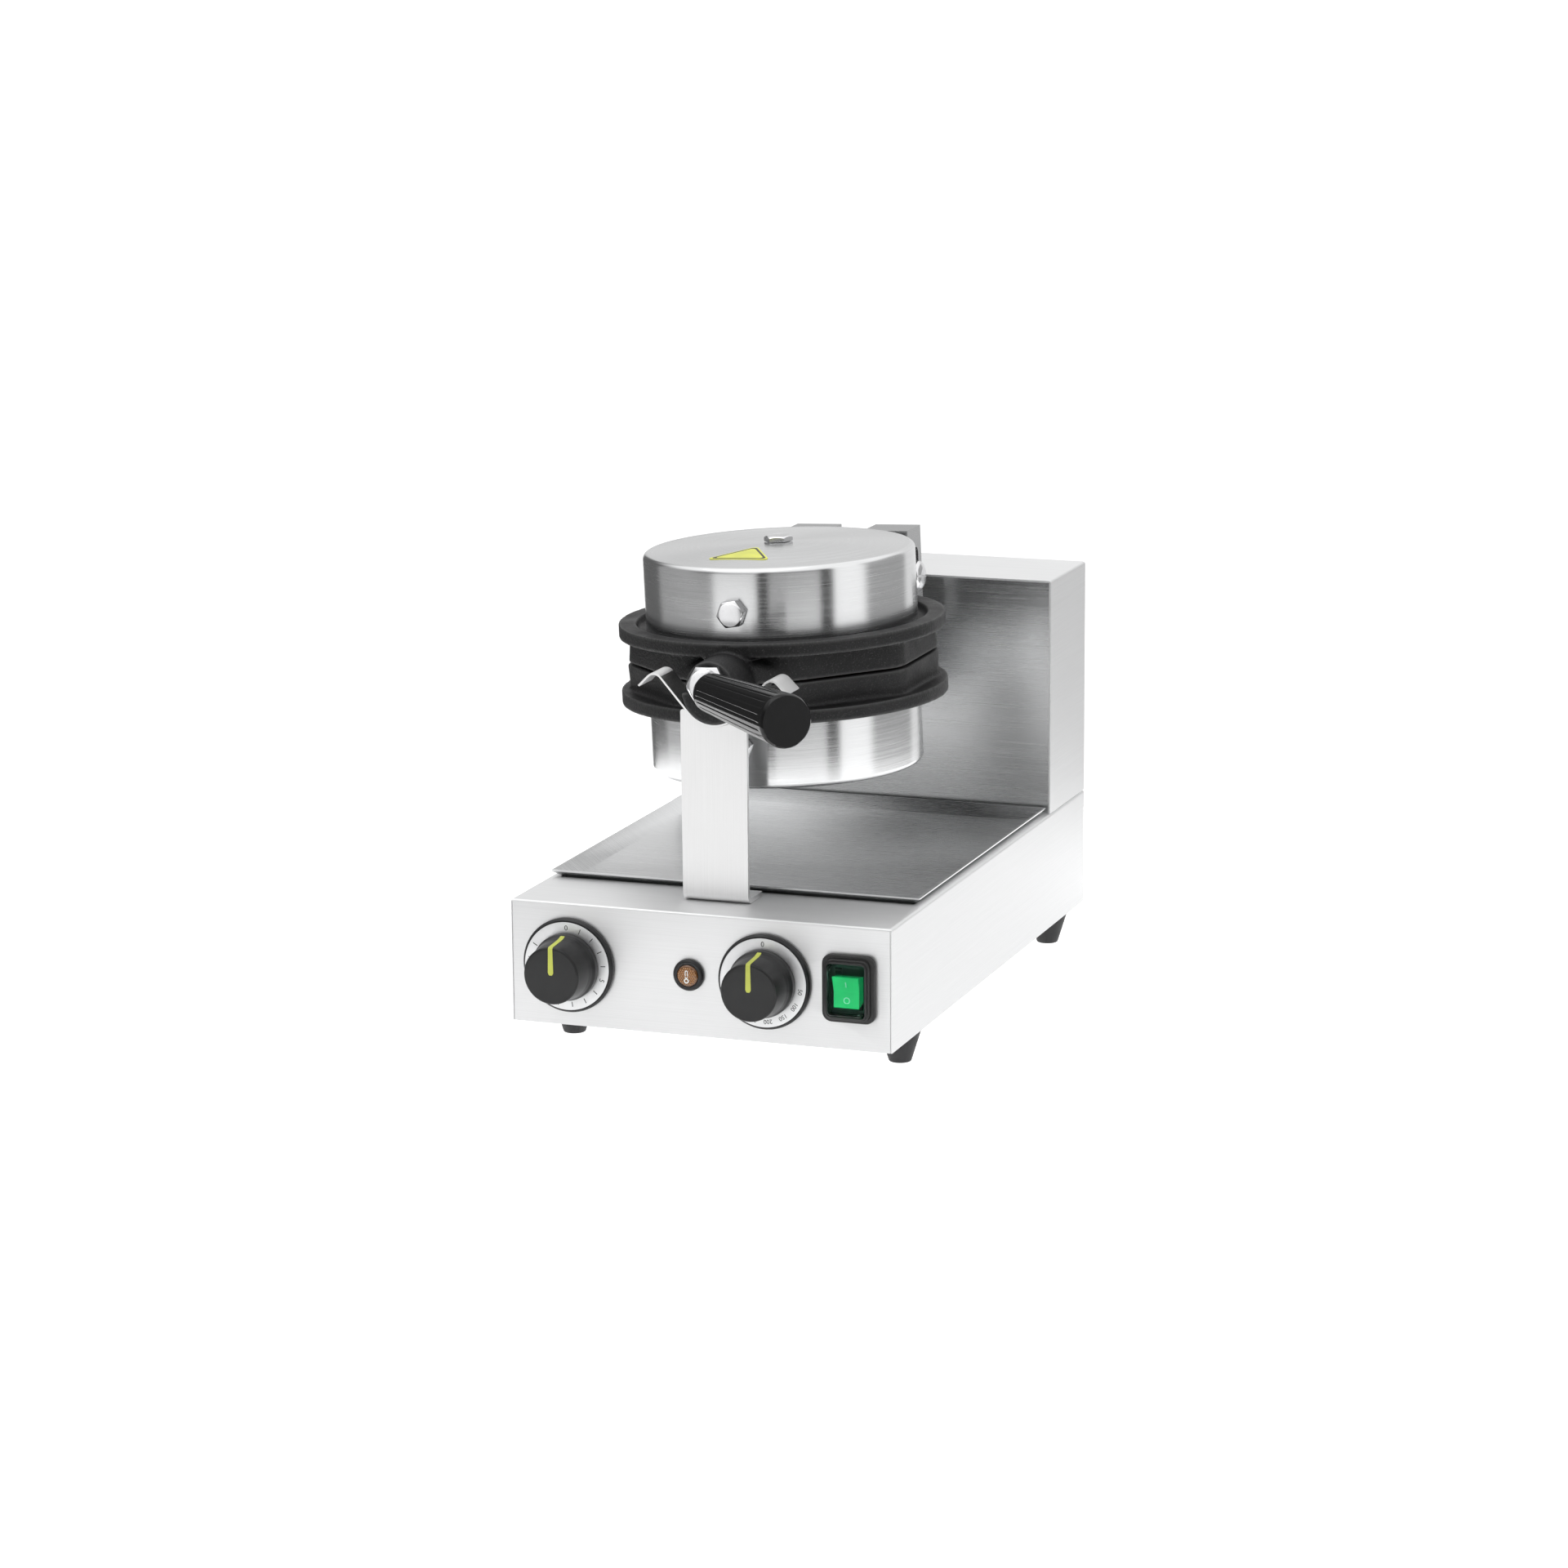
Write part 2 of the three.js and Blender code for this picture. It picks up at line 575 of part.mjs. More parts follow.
function castingBolt(side) {
  const { x, y, hex, head, end } = HINGE_BOLT;
  const seat = BOX_BOTTOM + BOX_WALL + GAP;
  const bolt = join(prism(hexagon(hex), 'z', seat, seat + head), rod(BOLT_R, 'z', end, seat + 1));
  return bolt.translate(side * x, y, 0);
}

// ---- casings and heaters -----------------------------------------------------------------
// Radius and height along the slightly domed top of a casing, from the bolt hole outwards.
function domeProfile(offset) {
  const edge = CASING_R - 8;
  const radii = [BOLT_HOLE_R, 20, 40, 60, edge];
  return radii.map((r) => [r, CASING_TOP + offset + CASING_DOME * (1 - (r / edge) ** 2)]);
}

function casing() {
  const bend = 4;
  const inside = bend - CASING_SHEET;
  const hem = FLANGE_OUT - HEM_DEPTH + GAP;
  const shell = turned([
    ...domeProfile(0),
    ...arcPoints(CASING_R - bend, CASING_TOP - bend, bend, 90, 0, 3),
    [CASING_R, hem], [CASING_R - CASING_SHEET, hem],
    ...arcPoints(CASING_R - bend, CASING_TOP - bend, inside, 0, 90, 2),
    ...domeProfile(-CASING_SHEET).reverse(), domeProfile(0)[0],
  ].reverse(), 'z', FINE);
  const boltHole = rod(BOLT_HOLE_R, 'y', -100, -70).translate(0, 0, BOLT_LEVEL);
  return cut(shell, boltHole).translate(0, PLATE_Y, 0);
}

function topBolt() {
  const seat = CASING_TOP + CASING_DOME + GAP;
  return join(
    prism(hexagon(HEX_ACROSS), 'z', seat, seat + 3.6),
    rod(BOLT_R, 'z', 32, seat + 1),
  ).translate(0, PLATE_Y, 0);
}

function sideBolt() {
  const seat = -CASING_R - GAP;
  return join(
    prism(hexagon(HEX_ACROSS), 'y', seat - 6, seat),
    rod(BOLT_R, 'y', seat - 1, seat + 22),
  ).translate(0, PLATE_Y, BOLT_LEVEL);
}

// Open ring of sheathed element with its two ends turned up.
function heater() {
  const ringR = 58;
  const sheathR = 4;
  const level = FLANGE_OUT + GAP + sheathR;
  const ends = [105, 435]; // degrees
  const at = (angle, z) => new THREE.Vector3(ringR * Math.cos(angle * DEG), ringR * Math.sin(angle * DEG), z);
  const upright = (angle) => [at(angle, level + 26), at(angle, level + 8)];
  const ring = [];
  for (let angle = ends[0]; angle <= ends[1]; angle += 11) ring.push(at(angle, level));
  const points = [...upright(ends[0]), ...ring, ...upright(ends[1]).reverse()];
  const section = polygon(arcPoints(0, 0, sheathR, 0, 315, 7));
  const path = new THREE.CatmullRomCurve3(points);
  const sheath = new THREE.ExtrudeGeometry(section, { steps: 44, extrudePath: path, bevelEnabled: false });
  return sheath.translate(0, PLATE_Y, 0);
}

const STICKER = { radius: 24.5, x: -6, y: -47 }; // centre measured from the plates' axis

// Triangle of film that follows the dome a small gap above it.
function sticker() {
  const { radius, x, y } = STICKER;
  const outline = polygon(arcPoints(0, 0, radius, 90, 330, 2));
  const triangle = prism(outline, 'z', CASING_TOP, CASING_TOP + 10).translate(x, y, 0);
  const film = turned([
    ...domeProfile(2 * GAP), ...domeProfile(GAP).reverse(), domeProfile(2 * GAP)[0],
  ].reverse(), 'z', FINE);
  return common(film, triangle).translate(0, PLATE_Y, 0);
}

// Everything on the lower side is the upper piece turned half round the shaft axis.
function flipped(geometry) {
  return geometry.rotateY(Math.PI);
}

// ---- handle ------------------------------------------------------------------------------
const handleWay = [Math.sin(HANDLE_YAW * DEG), -Math.cos(HANDLE_YAW * DEG)];

function alongHandle(distance) {
  const [x, y] = handleWay;
  return new THREE.Vector3(x * distance, HANDLE_BEND_Y + y * distance, NOSE_RISE);
}

function placedOnHandle(geometry) {
  return geometry.rotateZ(HANDLE_YAW * DEG).translate(0, HANDLE_BEND_Y, NOSE_RISE);
}

function handleRod() {
  const path = new THREE.CurvePath();
  const bend = 7;
  const start = new THREE.Vector3(0, NOSE_FRONT - GAP, NOSE_RISE);
  const before = new THREE.Vector3(0, HANDLE_BEND_Y + bend, NOSE_RISE);
  const middle = new THREE.Vector3(0, HANDLE_BEND_Y, NOSE_RISE);
  path.add(new THREE.LineCurve3(start, before));
  path.add(new THREE.QuadraticBezierCurve3(before, middle, alongHandle(bend)));
  path.add(new THREE.LineCurve3(alongHandle(bend), alongHandle(70)));
  const section = polygon(arcPoints(0, 0, ROD_R, 0, 330, 11));
  const shank = new THREE.ExtrudeGeometry(section, { steps: 24, extrudePath: path, bevelEnabled: false });
  const stud = rod(STUD_R, 'y', NOSE_FRONT - 2, NOSE_FRONT + STUD_LENGTH).translate(0, 0, NOSE_RISE);
  return join(shank, stud);
}

function handleNut() {
  const face = NOSE_FRONT - GAP;
  const hex = prism(hexagon(24), 'y', face - 5, face);
  return cut(hex, rod(ROD_R + GAP, 'y', face - 20, face + 5, 24)).translate(0, 0, NOSE_RISE);
}

function handleGrip() {
  const end = GRIP_START + GRIP_LENGTH;
  const bore = 6.5;
  const depth = 72;
  const grip = turned([
    [bore, -GRIP_START], [GRIP_R[0] - 1, -GRIP_START], [GRIP_R[0], -GRIP_START - 1],
    [GRIP_R[1], -end + 1], [GRIP_R[1] - 1, -end], [0, -end],
    [0, -depth], [bore, -depth], [bore, -GRIP_START],
  ].reverse(), 'y', 32);
  return placedOnHandle(grip);
}

// ---- front bracket and cradle ------------------------------------------------------------
function frontBracket() {
  const { sheet, bend, foot, screwX, screwY, stem, below } = BRACKET;
  const level = DECK_TOP + GAP;
  const outline = polygon([
    [BRACKET_Y, AXIS_Z - below],
    ...arcPoints(BRACKET_Y + bend, level + bend, bend, 180, 270, 5),
    [BRACKET_Y + foot, level], [BRACKET_Y + foot, level + sheet],
    ...arcPoints(BRACKET_Y + bend, level + bend, bend - sheet, 270, 180, 4),
    [BRACKET_Y + sheet, AXIS_Z - below],
  ]);
  const strip = prism(outline, 'x', -BRACKET_HALF, BRACKET_HALF);
  const notchR = BOSS_R + 2 * GAP + CRADLE_SHEET;
  const notch = rod(notchR, 'y', BRACKET_Y - 10, BRACKET_Y + 10, FINE).translate(0, 0, AXIS_Z);
  const hole = (x) => rod(stem + GAP, 'z', level - 5, level + 9).translate(x, BRACKET_Y + screwY, 0);
  return cut(strip, notch, hole(-screwX), hole(screwX));
}

function bracketScrew(side) {
  const { sheet, screwX, screwY, stem } = BRACKET;
  const seat = DECK_TOP + GAP + sheet + GAP;
  return turned([
    [0, seat - 3.2], [stem, seat - 3.2], [stem, seat],
    [4.8, seat], [4.8, seat + 1.2], [3.4, seat + 2.6], [0, seat + 3],
  ], 'z', SMALL).translate(side * screwX, BRACKET_Y + screwY, 0);
}

// Thin strip bent round the boss: half ring, two rising arms, two curled lips.
function cradle() {
  const slope = 49; // of the arms
  const armLength = 28;
  const lip = 5.5;
  const tail = 9;
  const tailSlope = 45;
  const ringR = BOSS_R + GAP + CRADLE_SHEET / 2;
  const leave = slope - 90; // where the arm leaves the ring
  const right = (offset) => {
    const x = ringR * Math.cos(leave * DEG) + armLength * Math.cos(slope * DEG) + lip * Math.sin(slope * DEG);
    const z = ringR * Math.sin(leave * DEG) + armLength * Math.sin(slope * DEG) - lip * Math.cos(slope * DEG);
    const curl = arcPoints(x, z, lip - offset, 90 + slope, tailSlope, 8);
    const [lastX, lastZ] = curl[curl.length - 1];
    const end = [lastX + tail * Math.cos(tailSlope * DEG), lastZ - tail * Math.sin(tailSlope * DEG)];
    return [...arcPoints(0, 0, ringR + offset, -90, leave, 10), ...curl, end];
  };
  const whole = (offset) => {
    const points = right(offset);
    const left = points.map(([x, z]) => [-x, z]).reverse();
    return [...left.slice(0, -1), ...points];
  };
  const outline = [...whole(CRADLE_SHEET / 2), ...whole(-CRADLE_SHEET / 2).reverse()];
  return prism(polygon(outline), 'y', BRACKET_Y - 1.5, BRACKET_Y + 20).translate(0, 0, AXIS_Z);
}

// ---- controls ----------------------------------------------------------------------------
const BEZEL_BACK = PANEL_Y - GAP;
const BEZEL_FRONT = BEZEL_BACK - 4;
const SCALE_BACK = BEZEL_FRONT - GAP;
const SCALE_FRONT = SCALE_BACK - 0.6;
const KNOB_BACK = SCALE_FRONT - GAP;
const KNOB_FRONT = PANEL_Y - 31;

function dialBezel(x) {
  return turned([
    [6, BEZEL_FRONT], [28.6, BEZEL_FRONT], [30, BEZEL_FRONT + 1.4], [30, BEZEL_BACK],
    [6, BEZEL_BACK], [6, BEZEL_FRONT],
  ], 'y', MEDIUM).translate(x, 0, CONTROL_Z);
}

function dialScale(x) {
  return tube(20.5, 27, 'y', SCALE_FRONT, SCALE_BACK, MEDIUM).translate(x, 0, CONTROL_Z);
}

function dialKnob(x) {
  const bore = SPINDLE_R + 0.4;
  const boreEnd = KNOB_FRONT + 8;
  return turned([
    [bore, KNOB_BACK], [bore, boreEnd], [0, boreEnd], [0, KNOB_FRONT], [17, KNOB_FRONT],
    [18.75, KNOB_FRONT + 1.8], [19.6, KNOB_BACK - 9], [21.6, KNOB_BACK - 7], [22, KNOB_BACK - 1],
    [21.4, KNOB_BACK], [bore, KNOB_BACK],
  ], 'y', MEDIUM).translate(x, 0, CONTROL_Z);
}

function dialBody(x, depth) {
  const back = PANEL_Y + SHEET + GAP;
  const side = 22;
  const spindle = rod(SPINDLE_R, 'y', PANEL_Y - 22, back + 2, 16).translate(x, 0, CONTROL_Z);
  const box = block([x - side, x + side], [back, back + depth], [CONTROL_Z - side, CONTROL_Z + side]);
  return join(box, spindle);
}

function lampBezel() {
  const front = PANEL_Y - GAP;
  return turned([
    [6.9, front - 3], [9, front - 3], [10, front - 2], [10, front], [6.2, front], [6.2, front + 22],
    [4.5, front + 22], [4.5, front - 1], [6.9, front - 1], [6.9, front - 3],
  ], 'y', MEDIUM).translate(LAMP_X, 0, CONTROL_Z);
}

function lampLens() {
  const front = PANEL_Y - GAP;
  return turned([
    [0, front - 5.2], [3.5, front - 4.9], [6.6, front - 3.6], [6.6, front - 1.3],
    [4.2, front - 1.3], [4.2, front + 10], [0, front + 10],
  ], 'y', MEDIUM).translate(LAMP_X, 0, CONTROL_Z);
}

// Rectangle about the middle of the switch, drawn in the panel's plane.
function switchOutline(halfWidth, halfHeight, radius = 0) {
  const [x, z] = [SWITCH_X, CONTROL_Z];
  return rectangle(x - halfWidth, x + halfWidth, z - halfHeight, z + halfHeight, radius);
}

function switchFrame() {
  const back = PANEL_Y - GAP;
  const skirt = prism(switchOutline(17, 21.2, 6), 'y', back - 3, back);
  const rim = prism(switchOutline(14.5, 19, 5), 'y', back - 6, back - 2);
  const opening = prism(switchOutline(12, 16.5), 'y', back - 9, back + 3);
  return cut(join(skirt, rim), opening);
}

function switchBody() {
  const front = PANEL_Y - GAP;
  const outer = prism(switchOutline(11.7, 16.2), 'y', front - 1, front + 28);
  const pocket = prism(switchOutline(9, 13), 'y', front - 5, front + 12);
  return cut(outer, pocket);
}

const ROCKER_PIVOT_Y = PANEL_Y + 1;
const ROCKER_TILT = 9; // degrees either side of level

function switchRocker() {
  const face = 7;
  const length = 10.5;
  const slope = length * Math.tan(ROCKER_TILT * DEG);
  const outline = polygon([
    [-face - slope, -length], [-face + 0.4, 0], [-face - slope, length],
    [1, length - 3], [5, 3], [5, -3], [1, -length + 3],
  ].reverse());
  const rocker = prism(outline, 'x', -8.3, 8.3);
  return rocker.rotateX(ROCKER_TILT * DEG).translate(SWITCH_X, ROCKER_PIVOT_Y, CONTROL_Z);
}

// Domed cover, lofted along z with its open side down, then turned to face the front.
function switchBoot() {
  const wall = 0.7;
  const shell = (inset) => {
    const ring = (w, h, lift) => rectangleRing(
      SWITCH_X - w + inset, SWITCH_X + w - inset, CONTROL_Z - h + inset, CONTROL_Z + h - inset, lift - inset,
    );
    return loft([ring(11.7, 16.2, 1.3), ring(9.6, 13.6, 11.5)]);
  };
  return cut(shell(0), shell(wall)).rotateX(Math.PI / 2).translate(0, PANEL_Y - GAP, 0);
}

function cableGland() {
  const face = rear + GAP;
  const inside = rear - SHEET - GAP;
  const { x, z, hex, bore, thread } = GLAND;
  const head = prism(hexagon(hex), 'y', face, face + 5);
  const nut = prism(hexagon(hex), 'y', inside - 4, inside);
  const body = tube(bore, thread, 'y', rear - 12, face + 12, 24);
  const opening = rod(bore, 'y', rear - 30, rear + 30, 24);
  return cut(join(head, body, nut), opening).translate(x, 0, z);
}

// ---- assembly ----------------------------------------------------------------------------
add(group, 'base_housing', baseHousing(), 'stainless');
add(group, 'base_bottom_plate', bottomPlate(), 'plate');
FEET.forEach(([x, y], i) => add(group, FOOT_NAMES[i], foot().translate(x, y, 0), 'rubber'));
add(group, 'tray_frame', trayFrame(), 'plate');
add(group, 'drip_tray', dripTray(), 'stainless');
add(group, 'tower_cover', towerCover(), 'stainless');
add(group, 'tower_front_panel', towerFrontPanel(), 'stainless');
add(group, 'tower_rear_cover', towerRearCover(), 'stainless');
add(group, 'rear_cover_screw_left', coverScrew(-1), 'zinc');
add(group, 'rear_cover_screw_right', coverScrew(1), 'zinc');
add(group, 'bearing_bracket', bearingBracket().translate(0, 0, AXIS_Z), 'plate');
add(group, 'front_bush', bush(122, LEG_FRONT[1]).translate(0, 0, AXIS_Z), 'bronze');
add(group, 'rear_bush', bush(175, LEG_REAR[1]).translate(0, 0, AXIS_Z), 'bronze');
add(group, 'cable_gland', cableGland(), 'moulding');
add(group, 'front_bracket', frontBracket(), 'stainless');
add(group, 'bracket_screw_left', bracketScrew(-1), 'zinc');
add(group, 'bracket_screw_right', bracketScrew(1), 'zinc');
add(group, 'cradle', cradle(), 'stainless');

add(rotor, 'rotor_shaft', rotorShaft(), 'plate');
add(rotor, 'stop_collar', stopCollar(), 'plate');
add(rotor, 'shaft_circlip', tube(SHAFT_R + GAP, 15.5, 'y', 185, 186.5), 'zinc');
add(rotor, 'hinge_box', hingeBox(), 'stainless');
add(rotor, 'lower_casting', lowerCasting(), 'iron');
add(rotor, 'casting_bolt_left', castingBolt(-1), 'zinc');
add(rotor, 'casting_bolt_right', castingBolt(1), 'zinc');
add(rotor, 'lower_casing', flipped(casing()), 'stainless');
add(rotor, 'lower_heater', flipped(heater()), 'plate');
add(rotor, 'lower_centre_bolt', flipped(topBolt()), 'zinc');
add(rotor, 'lower_side_bolt', flipped(sideBolt()), 'zinc');

add(rotor, 'hinge_pin', hingePin(), 'zinc');
add(rotor, 'pin_cap_left', pinCap(-1), 'zinc');
add(rotor, 'pin_cap_right', pinCap(1), 'zinc');
add(rotor, 'pin_spacer_left', pinSpacer(-1), 'zinc');
add(rotor, 'pin_spacer_right', pinSpacer(1), 'zinc');

add(rotor, 'upper_casting', upperCasting(), 'iron');
add(rotor, 'upper_casing', casing(), 'stainless');
add(rotor, 'upper_heater', heater(), 'plate');
add(rotor, 'upper_centre_bolt', topBolt(), 'zinc');
add(rotor, 'upper_side_bolt', sideBolt(), 'zinc');
add(rotor, 'warning_sticker', sticker(), 'sticker');
add(rotor, 'handle_rod', handleRod(), 'zinc');
add(rotor, 'handle_nut', handleNut(), 'zinc');
add(rotor, 'handle_grip', handleGrip(), 'bakelite');

add(group, 'timer_bezel', dialBezel(TIMER_X), 'moulding');
add(group, 'timer_scale', dialScale(TIMER_X), 'scale');
add(group, 'timer_knob', dialKnob(TIMER_X), 'knob');
add(group, 'timer_body', dialBody(TIMER_X, 42), 'moulding');
add(group, 'thermostat_bezel', dialBezel(THERMOSTAT_X), 'moulding');
add(group, 'thermostat_scale', dialScale(THERMOSTAT_X), 'scale');
add(group, 'thermostat_knob', dialKnob(THERMOSTAT_X), 'knob');
add(group, 'thermostat_body', dialBody(THERMOSTAT_X, 32), 'moulding');
add(group, 'lamp_bezel', lampBezel(), 'moulding');
add(group, 'lamp_lens', lampLens(), 'lens');
add(group, 'switch_frame', switchFrame(), 'rubber');
add(group, 'switch_body', switchBody(), 'moulding');
add(group, 'switch_rocker', switchRocker(), 'green');
add(group, 'switch_boot', switchBoot(), 'boot');

export default group;
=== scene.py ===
"""Rotary waffle maker: smooth, finished pieces built round the fixed frame."""

import json
import math

import bmesh
import bpy
from mathutils import Matrix, Vector


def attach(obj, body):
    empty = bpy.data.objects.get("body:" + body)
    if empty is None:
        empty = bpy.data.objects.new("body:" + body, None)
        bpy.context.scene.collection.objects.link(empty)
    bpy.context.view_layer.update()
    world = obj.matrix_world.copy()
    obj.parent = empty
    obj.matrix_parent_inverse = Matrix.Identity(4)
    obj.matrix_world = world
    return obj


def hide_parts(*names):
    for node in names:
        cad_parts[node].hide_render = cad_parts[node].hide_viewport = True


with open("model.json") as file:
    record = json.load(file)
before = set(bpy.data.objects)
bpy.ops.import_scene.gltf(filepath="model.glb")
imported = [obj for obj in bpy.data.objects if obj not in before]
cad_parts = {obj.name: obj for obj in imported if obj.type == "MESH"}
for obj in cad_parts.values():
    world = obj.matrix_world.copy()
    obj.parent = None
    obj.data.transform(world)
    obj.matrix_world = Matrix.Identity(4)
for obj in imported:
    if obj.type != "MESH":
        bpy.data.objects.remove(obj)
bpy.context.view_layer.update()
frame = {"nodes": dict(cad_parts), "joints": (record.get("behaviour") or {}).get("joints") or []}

# ---- where things are ----------------------------------------------------------------
# Shapes below are drawn in millimetres and placed in metres by one of these matrices.
MM = 0.001
JOINTS = {joint["name"]: joint for joint in frame["joints"]}
REST_ROLL = math.radians(-2.3)  # the plates lean a little to the left

rotor_axis = Vector(JOINTS["rotor_turn"]["pos_m"])
to_metres = Matrix.Scale(MM, 4)
at_base = Matrix.Translation((0, rotor_axis.y, 0)) @ to_metres
at_rotor = Matrix.Translation(rotor_axis) @ Matrix.Rotation(REST_ROLL, 4, "Y") @ to_metres
turned_over = at_rotor @ Matrix.Rotation(math.pi, 4, "Y")

AXIS_Z = rotor_axis.z / MM
PLATE_Y = -49
FLANGE_R = 104
FLANGE_IN = 17
FLANGE_OUT = 25.6
PARTING = 0.5
CASING_R = 86.5
CASING_TOP = 69.6
CASING_DOME = 3.6
DOME_REACH = 78.5
GAP = 0.3
at_plate = at_rotor @ Matrix.Translation((0, PLATE_Y, 0))
under_plate = turned_over @ Matrix.Translation((0, PLATE_Y, 0))

PANEL_Y = -205
REAR_Y = 205
CONTROL_Z = 61
TIMER_X = -86
LAMP_X = -6.5
THERMOSTAT_X = 43.5
SWITCH_X = 98


# ---- outlines ------------------------------------------------------------------------
def arc(cx, cy, radius, start, end, steps):
    """Points on an arc, angles in degrees."""
    turns = [math.radians(start + (end - start) * i / steps) for i in range(steps + 1)]
    return [(cx + radius * math.cos(a), cy + radius * math.sin(a)) for a in turns]


def filleted(points, closed=True, steps=5):
    """Rounds the corners of an outline whose points are (a, b) or (a, b, radius)."""
    count = len(points)
    result = []
    for i, point in enumerate(points):
        here = Vector(point[:2])
        radius = point[2] if len(point) > 2 else 0
        if radius == 0 or (not closed and i in (0, count - 1)):
            result.append(tuple(here))
            continue
        back = (Vector(points[i - 1][:2]) - here).normalized()
        ahead = (Vector(points[(i + 1) % count][:2]) - here).normalized()
        half = back.angle(ahead) / 2
        reach = radius / math.tan(half)
        centre = here + (back + ahead).normalized() * (radius / math.sin(half))
        first = here + back * reach - centre
        last = here + ahead * reach - centre
        sweep = first.angle_signed(last)
        for k in range(steps + 1):
            turn = Matrix.Rotation(-sweep * k / steps, 2)
            result.append(tuple(centre + turn @ first))
    return result


def rounded_box(a0, a1, b0, b1, radius, steps=6):
    corners = [(a1, b0), (a1, b1), (a0, b1), (a0, b0)]
    return filleted([(a, b, radius) for a, b in corners], steps=steps)


def ribbon(path, thickness):
    """Closed outline of a thin strip whose middle follows an open path."""
    sides = ([], [])
    for i, point in enumerate(path):
        before = Vector(path[max(i - 1, 0)])
        after = Vector(path[min(i + 1, len(path) - 1)])
        along = (after - before).normalized()
        across = Vector((-along.y, along.x)) * thickness / 2
        sides[0].append(tuple(Vector(point) + across))
        sides[1].append(tuple(Vector(point) - across))
    return sides[0] + sides[1][::-1]


# ---- solids --------------------------------------------------------------------------
def skin(shape, rings, loop=False):
    """Faces between rings of points; a ring of one point is a pole."""
    made = [[shape.verts.new(p) for p in ring] for ring in rings]
    pairs = list(zip(made, made[1:]))
    if loop:
        pairs.append((made[-1], made[0]))
    for low, high in pairs:
        count = max(len(low), len(high))
        for i in range(count):
            j = (i + 1) % count
            corners = [low[i % len(low)], low[j % len(low)], high[j % len(high)], high[i % len(high)]]
            corners = list(dict.fromkeys(corners))
            if len(corners) > 2:
                shape.faces.new(corners)
    for ring in (made[0], made[-1]):
        if not loop and len(ring) > 2:
            shape.faces.new(ring)


AXES = {
    "x": lambda a, b, t: (t, a, b),
    "y": lambda a, b, t: (a, t, b),
    "z": lambda a, b, t: (a, b, t),
}


def turned(profile, axis="z", steps=96, loop=False):
    """Solid of revolution; profile points are (radius, along) or (radius, along, fillet)."""
    shape = bmesh.new()
    place = AXES[axis]
    rings = []
    for radius, along in filleted(profile, closed=loop, steps=4):
        if radius < 0.001:
            rings.append([place(0, 0, along)])
            continue
        around = [2 * math.pi * i / steps for i in range(steps)]
        rings.append([place(radius * math.cos(a), radius * math.sin(a), along) for a in around])
    skin(shape, rings, loop)
    return shape


def extruded(outline, axis, low, high, edge=0.0):
    """Prism of an outline, its rims rounded by `edge`."""
    shape = bmesh.new()
    place = AXES[axis]
    skin(shape, [[place(a, b, t) for a, b in outline] for t in (low, high)])
    if edge > 0:
        every = len(outline) == 4
        rims = [e for e in shape.edges
                if len(e.link_faces) == 2 and any(every or len(f.verts) > 4 for f in e.link_faces)
                and e.calc_face_angle(0) > 0.6]
        bmesh.ops.bevel(shape, geom=rims, offset=edge, segments=2, profile=0.5, affect="EDGES",
                        clamp_overlap=True)
    return shape


def block(x, y, z, edge=0.0):
    outline = [(x[0], y[0]), (x[1], y[0]), (x[1], y[1]), (x[0], y[1])]
    return extruded(outline, "z", z[0], z[1], edge)


def hex_head(across_flats, height, crown=0.93):
    """Hexagon head standing on z = 0, its top turned to a 30 degree chamfer."""
    shape = bmesh.new()
    steps = 72
    around = [360 * i / steps for i in range(steps)]
    reach = [across_flats / 2 / math.cos(math.radians((a % 60) - 30)) for a in around]
    flat = across_flats / 2 * crown
    slope = math.tan(math.radians(30))

    def ring(radii, heights):
        return [(r * math.cos(math.radians(a)), r * math.sin(math.radians(a)), h)
                for a, r, h in zip(around, radii, heights)]

    fall = [height - (r - flat) * slope for r in reach]
    skin(shape, [
        ring([r - 0.2 for r in reach], [0] * steps),
        ring(reach, [0.2] * steps),
        ring(reach, [h - 0.15 for h in fall]),
        ring([r - 0.2 for r in reach], [h + 0.05 for h in fall]),
        ring([flat] * steps, [height] * steps),
        ring([flat - 0.35] * steps, [height - 0.12] * steps),
        [(0, 0, height - 0.12)],
    ])
    return shape


def merged(*shapes):
    """One bmesh holding every given bmesh."""
    whole = bmesh.new()
    for shape in shapes:
        part = bpy.data.meshes.new("part")
        shape.to_mesh(part)
        shape.free()
        whole.from_mesh(part)
        bpy.data.meshes.remove(part)
    return whole


def moved(shape, *steps):
    for step in steps:
        bmesh.ops.transform(shape, matrix=step, verts=shape.verts)
    return shape


def shift(x=0.0, y=0.0, z=0.0):
    return Matrix.Translation((x, y, z))


def spin(degrees, axis):
    return Matrix.Rotation(math.radians(degrees), 4, axis)


# ---- pieces --------------------------------------------------------------------------
def make_object(name, shape, place=None):
    bmesh.ops.remove_doubles(shape, verts=shape.verts, dist=0.002)
    bmesh.ops.recalc_face_normals(shape, faces=shape.faces)
    mesh = bpy.data.meshes.new(name)
    shape.to_mesh(mesh)
    shape.free()
    if place is not None:
        mesh.transform(place)
    piece = bpy.data.objects.new(name, mesh)
    bpy.context.scene.collection.objects.link(piece)
    return piece


def as_mesh(piece):
    """Plain mesh of the evaluated piece; the piece itself is removed."""
    seen = piece.evaluated_get(bpy.context.evaluated_depsgraph_get())
    mesh = bpy.data.meshes.new_from_object(seen)
    bpy.data.objects.remove(piece)
    return mesh


def settle(name, mesh, place=None):
    if place is not None:
        mesh.transform(place)
    mesh.name = name
    piece = bpy.data.objects.new(name, mesh)
    bpy.context.scene.collection.objects.link(piece)
    return piece


